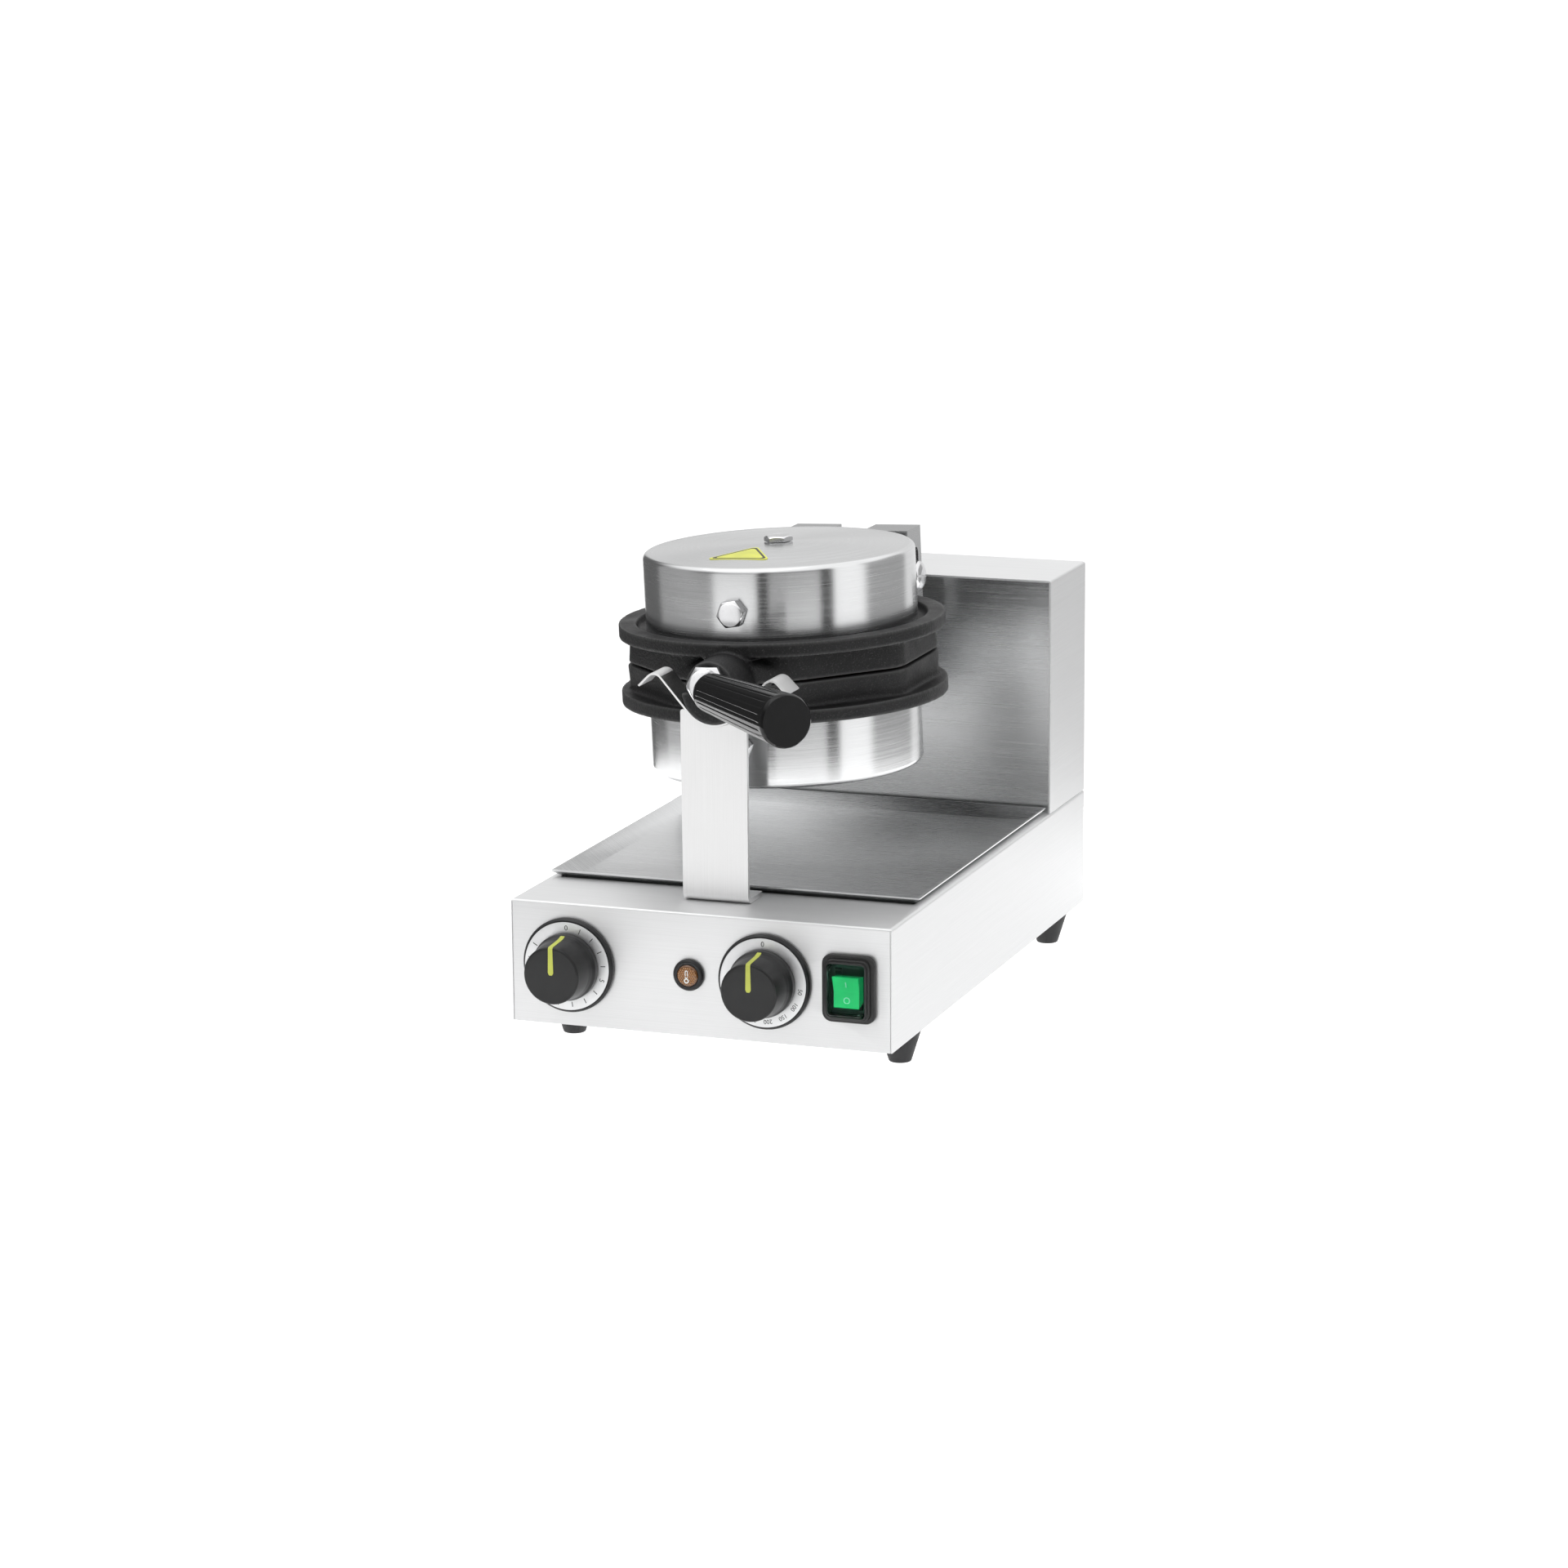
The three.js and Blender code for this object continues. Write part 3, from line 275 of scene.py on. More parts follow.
def carved(piece, tools, place=None):
    """Cuts each tool out of a piece and returns the new piece."""
    name = piece.name
    for tool in tools:
        cutter = make_object("cutter", tool, place)
        carve = piece.modifiers.new("carve", "BOOLEAN")
        carve.solver = "EXACT"
        carve.object = cutter
        mesh = as_mesh(piece)
        bpy.data.objects.remove(cutter)
        piece = settle(name, mesh)
    return piece


def dress(piece, finish, body, replaces=(), smooth=32):
    """Gives a finished piece its shading, material, body and the nodes it stands for."""
    mesh = piece.data
    mesh.materials.clear()
    mesh.materials.append(finish)
    for polygon in mesh.polygons:
        polygon.material_index = 0
    mesh.shade_smooth()
    mesh.set_sharp_from_angle(angle=math.radians(smooth))
    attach(piece, body)
    if replaces:
        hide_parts(*replaces)
    return piece


def piece(name, shape, place, finish, body, slot, replaces=(), smooth=32):
    return dress(make_object(name, shape, place), finish, body, replaces, smooth)


def eased(node, edge, finish, body, grooves=(), smooth=20):
    """Copy of a sheet-metal node with its edges broken by `edge` millimetres."""
    shape = bmesh.new()
    shape.from_mesh(frame["nodes"][node].data)
    bmesh.ops.remove_doubles(shape, verts=shape.verts, dist=0.00002)
    bmesh.ops.dissolve_limit(shape, angle_limit=math.radians(0.5), verts=shape.verts, edges=shape.edges)
    mesh = bpy.data.meshes.new(node)
    shape.to_mesh(mesh)
    shape.free()
    copy = settle(node + "_copy", mesh)
    copy = carved(copy, grooves, at_base)
    rounding = copy.modifiers.new("rounding", "BEVEL")
    rounding.width = edge * MM
    rounding.segments = 2
    rounding.limit_method = "ANGLE"
    rounding.angle_limit = math.radians(50)
    rounding.use_clamp_overlap = True
    rounding.harden_normals = False
    final = settle("fine_" + node, as_mesh(copy))
    return dress(final, finish, body, (node,), smooth)


# ---- geometry node trees -------------------------------------------------------------
class Tree:
    """Short way to write a node tree with named inputs."""

    def __init__(self, name, kind="GeometryNodeTree", inputs=()):
        self.tree = bpy.data.node_groups.new(name, kind)
        sides = self.tree.interface
        sides.new_socket("Geometry", in_out="INPUT", socket_type="NodeSocketGeometry")
        for label, socket, value in inputs:
            made = sides.new_socket(label, in_out="INPUT", socket_type=socket)
            if value is not None:
                made.default_value = value
        sides.new_socket("Geometry", in_out="OUTPUT", socket_type="NodeSocketGeometry")
        self.given = self.tree.nodes.new("NodeGroupInput").outputs
        self.result = self.tree.nodes.new("NodeGroupOutput").inputs

    def add(self, kind, settings=None, **links):
        node = self.tree.nodes.new(kind)
        for key, value in (settings or {}).items():
            setattr(node, key, value)
        for key, value in links.items():
            label = key.replace("_", " ")
            socket = node.inputs[int(key[1:])] if key[0] == "i" and key[1:].isdigit() else node.inputs[label]
            self.feed(socket, value)
        return node

    def feed(self, socket, value):
        if isinstance(value, bpy.types.NodeSocket):
            self.tree.links.new(value, socket)
        else:
            socket.default_value = value

    def math(self, operation, a, b=0.0):
        return self.add("ShaderNodeMath", {"operation": operation}, i0=a, i1=b).outputs[0]

    def join(self, x, y, z):
        return self.add("ShaderNodeCombineXYZ", i0=x, i1=y, i2=z).outputs[0]

    def end(self, geometry, finish):
        real = self.add("GeometryNodeRealizeInstances", Geometry=geometry).outputs[0]
        painted = self.add("GeometryNodeSetMaterial", Geometry=real, Material=finish).outputs[0]
        self.tree.links.new(painted, self.result["Geometry"])


def grown(name, tree, values, start=None):
    """Plain mesh that a tree makes from the given inputs."""
    carrier = bpy.data.objects.new(name, start or bpy.data.meshes.new(name))
    bpy.context.scene.collection.objects.link(carrier)
    maker = carrier.modifiers.new("maker", "NODES")
    maker.node_group = tree
    sockets = {s.name: s.identifier for s in tree.interface.items_tree if s.in_out == "INPUT"}
    for label, value in values.items():
        maker[sockets[label]] = value
    return as_mesh(carrier)


# ---- finishes ------------------------------------------------------------------------
class Finish:
    """Material with one principled shader and short ways to feed it."""

    def __init__(self, name, colour, roughness, metallic=0.0, **constants):
        self.material = bpy.data.materials.new(name)
        self.material.use_nodes = True
        self.tree = self.material.node_tree
        self.shader = self.tree.nodes["Principled BSDF"]
        self.set("Base Color", (*colour, 1))
        self.set("Roughness", roughness)
        self.set("Metallic", metallic)
        for key, value in constants.items():
            self.set(key.replace("_", " "), value)
        self.place = self.add("ShaderNodeTexCoord").outputs["Object"]

    def set(self, socket, value):
        self.shader.inputs[socket].default_value = value

    def add(self, kind, settings=None, **links):
        node = self.tree.nodes.new(kind)
        for key, value in (settings or {}).items():
            setattr(node, key, value)
        for key, value in links.items():
            socket = node.inputs[int(key[1:])] if key[0] == "i" and key[1:].isdigit() else node.inputs[key]
            if isinstance(value, bpy.types.NodeSocket):
                self.tree.links.new(value, socket)
            else:
                socket.default_value = value
        return node

    def math(self, operation, a, b=0.0):
        return self.add("ShaderNodeMath", {"operation": operation}, i0=a, i1=b).outputs[0]

    def noise(self, vector, scale, detail=3.0, rough=0.5):
        return self.add("ShaderNodeTexNoise", None, Vector=vector, Scale=scale, Detail=detail,
                        Roughness=rough).outputs[0]

    def stretched(self, factors, vector=None, offset=(0, 0, 0), turn=(0, 0, 0)):
        return self.add("ShaderNodeMapping", None, Vector=vector or self.place, Location=offset,
                        Rotation=turn, Scale=factors).outputs[0]

    def spread(self, value, low, high, from_low=0.3, from_high=0.7):
        node = self.add("ShaderNodeMapRange", None, i0=value, i1=from_low, i2=from_high, i3=low, i4=high)
        return node.outputs[0]

    def blend(self, amount, a, b):
        node = self.add("ShaderNodeMix", {"data_type": "RGBA"}, i0=amount)
        for index, value in ((6, a), (7, b)):
            if isinstance(value, bpy.types.NodeSocket):
                self.tree.links.new(value, node.inputs[index])
            else:
                node.inputs[index].default_value = (*value, 1)
        return node.outputs[2]

    def link(self, value, socket):
        self.tree.links.new(value, self.shader.inputs[socket])

    def bump(self, height, distance, strength=1.0, under=None):
        node = self.add("ShaderNodeBump", None, Strength=strength, Distance=distance, Height=height)
        if under is not None:
            self.tree.links.new(under, node.inputs["Normal"])
        self.link(node.outputs[0], "Normal")
        return node.outputs[0]


def brushed_sheet(name, colour, roughness, depth=0.000008, contrast=0.05, upright_grain=(14, 14, 2600),
                  bias=0.75):
    """Stainless sheet, its grain level on upright faces and across the deck."""
    steel = Finish(name, colour, roughness, 1.0, Anisotropic=bias, Anisotropic_Rotation=0.25)
    upright = steel.noise(steel.stretched(upright_grain), 1.0, 4.0, 0.65)
    level = steel.noise(steel.stretched((14, 2600, 14)), 1.0, 4.0, 0.65)
    normal = steel.add("ShaderNodeTexCoord").outputs["Normal"]
    facing = steel.add("ShaderNodeSeparateXYZ", None, Vector=normal)
    lying = steel.math("GREATER_THAN", steel.math("ABSOLUTE", facing.outputs["Z"]), 0.7)
    across = steel.add("ShaderNodeVectorMath", {"operation": "CROSS_PRODUCT"}, i0=normal,
                       i1=(0, 0, 1)).outputs[0]
    tangent = steel.add("ShaderNodeMix", {"data_type": "VECTOR"}, i0=lying, i4=across,
                        i5=(1, 0, 0)).outputs[1]
    steel.link(tangent, "Tangent")
    grain = steel.add("ShaderNodeMix", {"data_type": "FLOAT"}, i0=lying, i2=upright, i3=level).outputs[0]
    cloud = steel.noise(steel.place, 9.0, 3.0)
    mixed = steel.math("ADD", steel.math("MULTIPLY", grain, 0.8), steel.math("MULTIPLY", cloud, 0.2))
    darker = tuple(c * (1 - contrast) for c in colour)
    lighter = tuple(min(c * (1 + contrast), 1) for c in colour)
    steel.link(steel.blend(steel.spread(mixed, 0, 1), darker, lighter), "Base Color")
    steel.link(steel.spread(mixed, roughness - 0.05, roughness + 0.07), "Roughness")
    steel.bump(grain, depth)
    return steel.material


def turned_sheet(name, colour, roughness, centre, roll, depth=0.000006, contrast=0.06):
    """Stainless pressing polished on a lathe, its grain running round the axis."""
    steel = Finish(name, colour, roughness, 1.0, Anisotropic=0.8, Anisotropic_Rotation=0.25)
    steel.link(steel.add("ShaderNodeTangent", {"direction_type": "RADIAL", "axis": "Z"}).outputs[0],
               "Tangent")
    offset = tuple(-c for c in centre)
    local = steel.stretched((1, 1, 1), steel.stretched((1, 1, 1), None, offset), (0, 0, 0), (0, -roll, 0))
    parts = steel.add("ShaderNodeSeparateXYZ", None, Vector=local).outputs
    radius = steel.math("SQRT", steel.math("ADD", steel.math("MULTIPLY", parts[0], parts[0]),
                                           steel.math("MULTIPLY", parts[1], parts[1])))
    along = steel.math("ADD", parts[2], radius)
    ways = steel.add("ShaderNodeCombineXYZ", None, i0=steel.math("MULTIPLY", parts[0], 16.0),
                     i1=steel.math("MULTIPLY", parts[1], 16.0),
                     i2=steel.math("MULTIPLY", along, 2300.0)).outputs[0]
    grain = steel.noise(ways, 1.0, 4.0, 0.65)
    darker = tuple(c * (1 - contrast) for c in colour)
    lighter = tuple(min(c * (1 + contrast), 1) for c in colour)
    steel.link(steel.blend(steel.spread(grain, 0, 1), darker, lighter), "Base Color")
    steel.link(steel.spread(grain, roughness - 0.06, roughness + 0.08), "Roughness")
    steel.bump(grain, depth)
    return steel.material


def plated(name, colour, roughness, scale=900.0):
    """Plated or polished steel with faint clouding and fine scratches."""
    metal = Finish(name, colour, roughness, 1.0)
    cloud = metal.noise(metal.place, 60.0, 3.0)
    scratch = metal.noise(metal.stretched((scale, scale * 0.1, scale * 0.4)), 1.0, 2.0)
    mixed = metal.math("ADD", metal.math("MULTIPLY", cloud, 0.6), metal.math("MULTIPLY", scratch, 0.4))
    metal.link(metal.blend(metal.spread(mixed, 0, 1), tuple(c * 0.9 for c in colour), colour), "Base Color")
    metal.link(metal.spread(mixed, roughness * 0.75, roughness * 1.35), "Roughness")
    metal.bump(scratch, 0.000006)
    return metal.material


def sand_cast(name, colour, painted_highlight_grey):
    """Seasoned cast iron: sand grain and shallow pits, with sharp edges and sparse sand specks painted paler
    as highlights.
    """
    iron = Finish(name, colour, 0.55, 0.35, Specular_IOR_Level=0.5)
    sand = iron.noise(iron.place, 1150.0, 3.0, 0.6)
    pits = iron.add("ShaderNodeTexVoronoi", {"feature": "F1"}, Vector=iron.place,
                    Scale=620.0).outputs["Distance"]
    patch = iron.noise(iron.place, 38.0, 4.0, 0.6)
    height = iron.math("ADD", iron.math("MULTIPLY", sand, 0.7), iron.math("MULTIPLY", pits, 0.5))
    # Painted highlight: edges (found by pointiness) and sand specks are blended toward a paler grey where
    # light would catch them.
    edge = iron.add("ShaderNodeNewGeometry").outputs["Pointiness"]
    painted_rim_highlight = iron.spread(edge, 0.0, 0.75, 0.505, 0.56)
    painted_glint_specks = iron.math("MULTIPLY", iron.spread(sand, 0, 1, 0.56, 0.75), 0.6)
    amount = iron.add("ShaderNodeMath", {"operation": "MAXIMUM"}, i0=painted_rim_highlight, i1=painted_glint_specks).outputs[0]
    base = iron.blend(iron.spread(patch, 0, 1), tuple(c * 0.7 for c in colour),
                      tuple(c * 1.4 for c in colour))
    iron.link(iron.blend(amount, base, painted_highlight_grey), "Base Color")
    iron.link(iron.spread(patch, 0.42, 0.62), "Roughness")
    iron.bump(height, 0.00032)
    return iron.material


def moulded(name, colour, roughness, grain_scale=1600.0, grain_depth=0.00003, **constants):
    """Moulded plastic or rubber with a fine spark-eroded texture."""
    plastic = Finish(name, colour, roughness, 0.0, **constants)
    grain = plastic.noise(plastic.place, grain_scale, 2.0)
    patch = plastic.noise(plastic.place, 55.0, 3.0)
    lighter = tuple(c * 1.25 + 0.002 for c in colour)
    plastic.link(plastic.blend(plastic.spread(patch, 0, 1), colour, lighter), "Base Color")
    plastic.link(plastic.spread(patch, roughness * 0.88, min(roughness * 1.12, 1)), "Roughness")
    plastic.bump(grain, grain_depth)
    return plastic.material


STEEL = (0.76, 0.765, 0.77)
housing_steel = brushed_sheet("brushed_housing_steel", (0.8, 0.803, 0.806), 0.5, bias=0.3)
tower_steel = brushed_sheet("brushed_tower_steel", STEEL, 0.24)
hinge_steel = brushed_sheet("brushed_hinge_steel", (0.4, 0.403, 0.406), 0.28)
tray_steel = brushed_sheet("brushed_tray_steel", (0.7, 0.705, 0.71), 0.24)
bracket_steel = brushed_sheet("brushed_bracket_steel", (0.82, 0.82, 0.82), 0.4,
                              upright_grain=(2600, 14, 14))
plate_centre = at_plate @ Vector((0, 0, 0))
casing_steel = turned_sheet("turned_casing_steel", (0.76, 0.765, 0.77), 0.21, plate_centre, REST_ROLL)
zinc_steel = plated("zinc_plated_steel", (0.5, 0.51, 0.52), 0.42)
bright_steel = plated("bright_fastener_steel", (0.82, 0.82, 0.83), 0.16)
rod_steel = plated("polished_rod_steel", (0.78, 0.78, 0.79), 0.2)
bushing_bronze = plated("bushing_bronze", (0.6, 0.43, 0.2), 0.35)
# The third colour is the painted highlight grey laid on the casting's edges and sand specks.
cast_iron = sand_cast("seasoned_cast_iron", (0.01, 0.01, 0.0105), (0.1, 0.1, 0.1))
foot_rubber = moulded("foot_rubber", (0.012, 0.012, 0.013), 0.55)
seal_rubber = moulded("switch_seal_rubber", (0.008, 0.008, 0.008), 0.42)
black_moulding = moulded("black_dial_moulding", (0.009, 0.009, 0.01), 0.36, Specular_IOR_Level=0.4)
knob_plastic = moulded("satin_knob_plastic", (0.012, 0.012, 0.0125), 0.32, 1300.0, 0.00003,
                       Specular_IOR_Level=0.35)
bakelite = moulded("glossy_bakelite", (0.0015, 0.0015, 0.0018), 0.09, 300.0, 0.000003,
                   Specular_IOR_Level=0.25)
scale_plate = plated("satin_scale_plate", (0.8, 0.805, 0.81), 0.45)
scale_ink = moulded("black_scale_ink", (0.01, 0.01, 0.01), 0.6)
pointer_lime = moulded("lime_pointer", (0.5, 0.54, 0.09), 0.5)
pale_print = moulded("pale_print", (0.85, 0.87, 0.85), 0.5)
# Painted light: the rocker is not a lamp; its faint green emission is a painted glow that brightens it
# behind the clear boot.
rocker_green = moulded("rocker_green", (0.006, 0.42, 0.14), 0.25, 400.0, 0.00001, Coat_Weight=0.5,
                       Emission_Color=(0.004, 0.5, 0.17, 1), Emission_Strength=0.35)
sticker_yellow = moulded("sticker_yellow", (0.66, 0.68, 0.10), 0.45)
sticker_line = moulded("sticker_line", (0.05, 0.05, 0.04), 0.5)
amber_glass = moulded("amber_lens", (0.16, 0.065, 0.018), 0.16, 500.0, 0.00001, Coat_Weight=0.6)
amber_studs = moulded("amber_honeycomb", (0.42, 0.2, 0.07), 0.2, 500.0, 0.00001, Coat_Weight=0.6)
boot_clear = moulded("clear_green_boot", (0.5, 0.86, 0.7), 0.04, 300.0, 0.000004, Transmission_Weight=1.0,
                     IOR=1.12)


# ---- base, tray and tower ------------------------------------------------------------
def corner_groove(x):
    """Narrow open joint between the front panel and the side wall."""
    return block((x - 0.25, x + 0.25), (PANEL_Y - 1, PANEL_Y + 0.8), (20, 98.4))


base_grooves = [corner_groove(side * 124.1) for side in (-1, 1)]
eased("base_housing", 0.3, housing_steel, "frame", base_grooves)
eased("tower_cover", 0.25, housing_steel, "frame")
eased("tower_front_panel", 0.25, tower_steel, "frame")
eased("tower_rear_cover", 0.25, housing_steel, "frame")
eased("tray_frame", 0.2, zinc_steel, "frame")
eased("base_bottom_plate", 0.2, zinc_steel, "frame")
eased("drip_tray", 0.25, tray_steel, "tray")


def rubber_foot():
    outline = [(0, 0), (7.0, 0, 0.9), (13.2, 20, 0.6), (13.7, 20.6, 0.3), (13.7, 22, 0.4), (0, 22)]
    return turned(outline, "z", 64)


FOOT_X = 109.3
FOOT_Y = {"front": -143, "rear": 172}
for end, y in FOOT_Y.items():
    for side, x in (("left", -FOOT_X), ("right", FOOT_X)):
        name = f"foot_{end}_{side}"
        foot = moved(rubber_foot(), shift(x, y))
        piece("fine_" + name, foot, at_base, foot_rubber, "frame", "foot_rubber", (name,))


# ---- casings -------------------------------------------------------------------------
def dome(radius):
    """Height of the casing's slightly domed top at a radius."""
    return CASING_TOP + CASING_DOME * max(1 - (radius / DOME_REACH) ** 2, 0)


def casing_shell():
    sheet = 1.2
    hem = FLANGE_OUT - 4.7
    radii = [0, 8, 16, 24, 32, 40, 48, 56, 64, 72, DOME_REACH]
    top = [(r, dome(r)) for r in radii]
    under = [(r, dome(r) - sheet) for r in reversed(radii)]
    return turned(top + [
        (CASING_R, CASING_TOP, 3.6), (CASING_R, hem, 0.4), (CASING_R - sheet, hem, 0.4),
        (CASING_R - sheet, CASING_TOP - sheet, 2.4),
    ] + under, "z", 160)


for name, place, body in (("upper_casing", at_plate, "lid"), ("lower_casing", under_plate, "rotor")):
    piece("fine_" + name, casing_shell(), place, casing_steel, body, "stainless", (name,))


BOLT_ACROSS = 16
SIDE_BOLT_Z = 42


def casing_bolt(name, head_height, stem, turn, seat, place, body):
    """Hexagon bolt with a plain stem, turned about its axis and set on `seat`."""
    bolt = merged(hex_head(BOLT_ACROSS, head_height),
                  turned([(0, -stem), (4, -stem), (4, 1), (0, 1)], "z", 24))
    piece("fine_" + name, moved(bolt, spin(turn, "Z"), seat), place, bright_steel, body, "bright_fastener",
          (name,))


on_top = shift(z=CASING_TOP + CASING_DOME + GAP)
on_side = shift(0, -CASING_R - GAP, SIDE_BOLT_Z) @ spin(90, "X")
for side, place, body in (("upper", at_plate, "lid"), ("lower", under_plate, "rotor")):
    casing_bolt(side + "_centre_bolt", 3.6, 36, 12, on_top, place, body)
    casing_bolt(side + "_side_bolt", 6, 22, 8, on_side, place, body)

# ---- castings ------------------------------------------------------------------------
CAVITY_R = 80
CAVITY_FLOOR = 13.5
BODY_APOTHEM = 92.4
AROUND = 96
BOSS_R = 20
BOSS_FRONT = -178.5
BOSS_REAR = -133
NOSE_FRONT = -182
NOSE_R = 14.7
NOSE_RISE = 5.2
HINGE_Y = 94.5
HINGE_RISE = 27.7
BOX_HALF = 43


def circle(radius, z, cx=0.0, cy=0.0):
    turns = [2 * math.pi * i / AROUND for i in range(AROUND)]
    return [(cx + radius * math.cos(a), cy + radius * math.sin(a), z) for a in turns]


def octagon(apothem, z):
    """Eight-sided ring with softened corners, sampled at even angles."""
    ring = []
    for i in range(AROUND):
        angle = 360 * i / AROUND
        off = ((angle + 22.5) % 45) - 22.5
        reach = apothem / math.cos(math.radians(off))
        reach = min(reach, apothem * 1.066)
        ring.append((reach * math.cos(math.radians(angle)), reach * math.sin(math.radians(angle)), z))
    return ring


def cavity_cup(apothem):
    shape = bmesh.new()
    skin(shape, [
        [(0, 0, CAVITY_FLOOR)], circle(CAVITY_R - 4, CAVITY_FLOOR), circle(CAVITY_R, PARTING),
        octagon(apothem, PARTING), octagon(apothem - 1.2, FLANGE_IN + 1), [(0, 0, FLANGE_IN + 1)],
    ])
    return shape


def back_plate():
    shape = turned([
        (0, FLANGE_IN), (FLANGE_R, FLANGE_IN), (FLANGE_R, FLANGE_OUT), (93, FLANGE_OUT),
        (91.5, FLANGE_OUT - 5), (84.3, FLANGE_OUT - 5), (84.3, FLANGE_OUT), (0, FLANGE_OUT),
    ], "z", 160)
    rear_flat = 97.5
    for vertex in shape.verts:
        vertex.co.y = min(vertex.co.y, rear_flat)
    return shape


def tooth_tree():
    """Square-topped teeth on a square grid, kept inside a circle."""
    tree = Tree("waffle_teeth", inputs=[
        ("Pitch", "NodeSocketFloat", 22.5), ("Across", "NodeSocketInt", 8),
        ("Reach", "NodeSocketFloat", 66.0), ("Root", "NodeSocketFloat", 14.0),
        ("Taper", "NodeSocketFloat", 0.7), ("Height", "NodeSocketFloat", 11.0),
        ("Tip Level", "NodeSocketFloat", 3.5), ("Finish", "NodeSocketMaterial", None)])
    given = tree.given
    span = tree.math("MULTIPLY", given["Pitch"], tree.math("SUBTRACT", given["Across"], 1.0))
    grid = tree.add("GeometryNodeMeshGrid", Size_X=span, Size_Y=span, Vertices_X=given["Across"],
                    Vertices_Y=given["Across"])
    where = tree.add("GeometryNodeInputPosition").outputs[0]
    far = tree.add("ShaderNodeVectorMath", {"operation": "LENGTH"}, i0=where).outputs["Value"]
    outside = tree.add("FunctionNodeCompare", {"data_type": "FLOAT", "operation": "GREATER_THAN"}, A=far,
                       B=given["Reach"]).outputs[0]
    kept = tree.add("GeometryNodeDeleteGeometry", {"domain": "POINT"}, Geometry=grid.outputs["Mesh"],
                    Selection=outside).outputs[0]
    cube = tree.add("GeometryNodeMeshCube", Size=tree.join(given["Root"], given["Root"], given["Height"]))
    point = tree.add("GeometryNodeInputPosition").outputs[0]
    parts = tree.add("ShaderNodeSeparateXYZ", i0=point).outputs
    tip = tree.math("LESS_THAN", parts[2], 0.0)
    factor = tree.math("ADD", tree.math("MULTIPLY", tip, given["Taper"]), tree.math("SUBTRACT", 1.0, tip))
    shaped = tree.join(tree.math("MULTIPLY", parts[0], factor), tree.math("MULTIPLY", parts[1], factor),
                       parts[2])
    tooth = tree.add("GeometryNodeSetPosition", Geometry=cube.outputs["Mesh"], Position=shaped).outputs[0]
    row = tree.add("GeometryNodeInstanceOnPoints", Points=kept, Instance=tooth).outputs[0]
    lift = tree.join(0.0, 0.0, tree.math("ADD", given["Tip Level"],
                                         tree.math("MULTIPLY", given["Height"], 0.5)))
    placed = tree.add("GeometryNodeTransform", Geometry=row, Translation=lift).outputs[0]
    tree.end(placed, given["Finish"])
    return tree.tree


teeth_tree = tooth_tree()


def neck():
    """Concave flare that carries the boss out from the octagonal body; sections are half ellipses."""
    shape = bmesh.new()
    sections = [(-134, 47, 16.4), (-140, 38, 16.8), (-144.5, 30, 17.6), (-149, 24.2, 18.8),
                (-152.4, 21, 19.6),
                (-155, 19.8, 19.8)]
    turns = [math.pi * k / 48 for k in range(49)]
    skin(shape, [[(w * math.cos(a), y, max(h * math.sin(a), PARTING)) for a in turns]
                 for y, w, h in sections])
    return shape


def boss():
    """Lower half of the round boss that lies in the cradle."""
    shape = bmesh.new()
    ring = [(x, max(z, PARTING)) for x, z in arc(0, 0, BOSS_R, 0, 180, 40)]
    skin(shape, [[(x, y, z) for x, z in ring] for y in (BOSS_FRONT, BOSS_REAR)])
    return shape


def nose():
    """Upper half of the boss, drawn in and lifted to meet the handle."""
    shape = bmesh.new()
    rings = []
    sections = ((BOSS_REAR, BOSS_R, 0), (-160, BOSS_R, 0), (-176, 17.6, 2.6),
                (NOSE_FRONT, NOSE_R, NOSE_RISE))
    for y, radius, rise in sections:
        points = arc(0, rise, radius, 0, 360, 48)[:-1]
        rings.append([(x, y, max(z, PARTING)) for x, z in points])
    skin(shape, rings)
    return shape


def cast(name, shapes, place, body, replaces):
    """Joins loose shapes into one rounded casting."""
    teeth = bmesh.new()
    teeth.from_mesh(grown("teeth", teeth_tree, {"Finish": cast_iron}))
    whole = merged(*shapes, moved(teeth, shift(y=PLATE_Y)))
    bmesh.ops.recalc_face_normals(whole, faces=whole.faces)
    blank = make_object(name + "_blank", whole)
    fuse = blank.modifiers.new("fuse", "REMESH")
    fuse.mode = "VOXEL"
    fuse.voxel_size = 1.15
    soften = blank.modifiers.new("soften", "SMOOTH")
    soften.factor = 0.5
    soften.iterations = 2
    thin = blank.modifiers.new("thin", "DECIMATE")
    thin.ratio = 0.6
    return dress(settle(name, as_mesh(blank), place), cast_iron, body, replaces, 40)


def plate_shapes(apothem, front):
    """Shapes that both castings share; `front` is the boss or the nose on the neck."""
    stud = turned([(0, 22), (12, 22), (12, 45), (0, 45)], "z", 32)
    return [moved(cavity_cup(apothem), shift(y=PLATE_Y)), moved(back_plate(), shift(y=PLATE_Y)), neck(),
            front, moved(stud, shift(y=PLATE_Y))]


hinge_arm = block((-9, 9), (40, HINGE_Y), (14, FLANGE_OUT))
hinge_hub = moved(turned([(0, -9), (8, -9), (8, 9), (0, 9)], "x", 48), shift(0, HINGE_Y, HINGE_RISE))
cast("fine_upper_casting", plate_shapes(BODY_APOTHEM, nose()) + [hinge_arm, hinge_hub], at_rotor, "lid",
     ("upper_casting",))
hinge_lug = block((-30, 30), (40, 102), (14.5, FLANGE_OUT))
cast("fine_lower_casting", plate_shapes(BODY_APOTHEM + 0.8, boss()) + [hinge_lug], turned_over, "rotor",
     ("lower_casting",))

# ---- hinge ---------------------------------------------------------------------------
eased("hinge_box", 0.3, hinge_steel, "rotor")


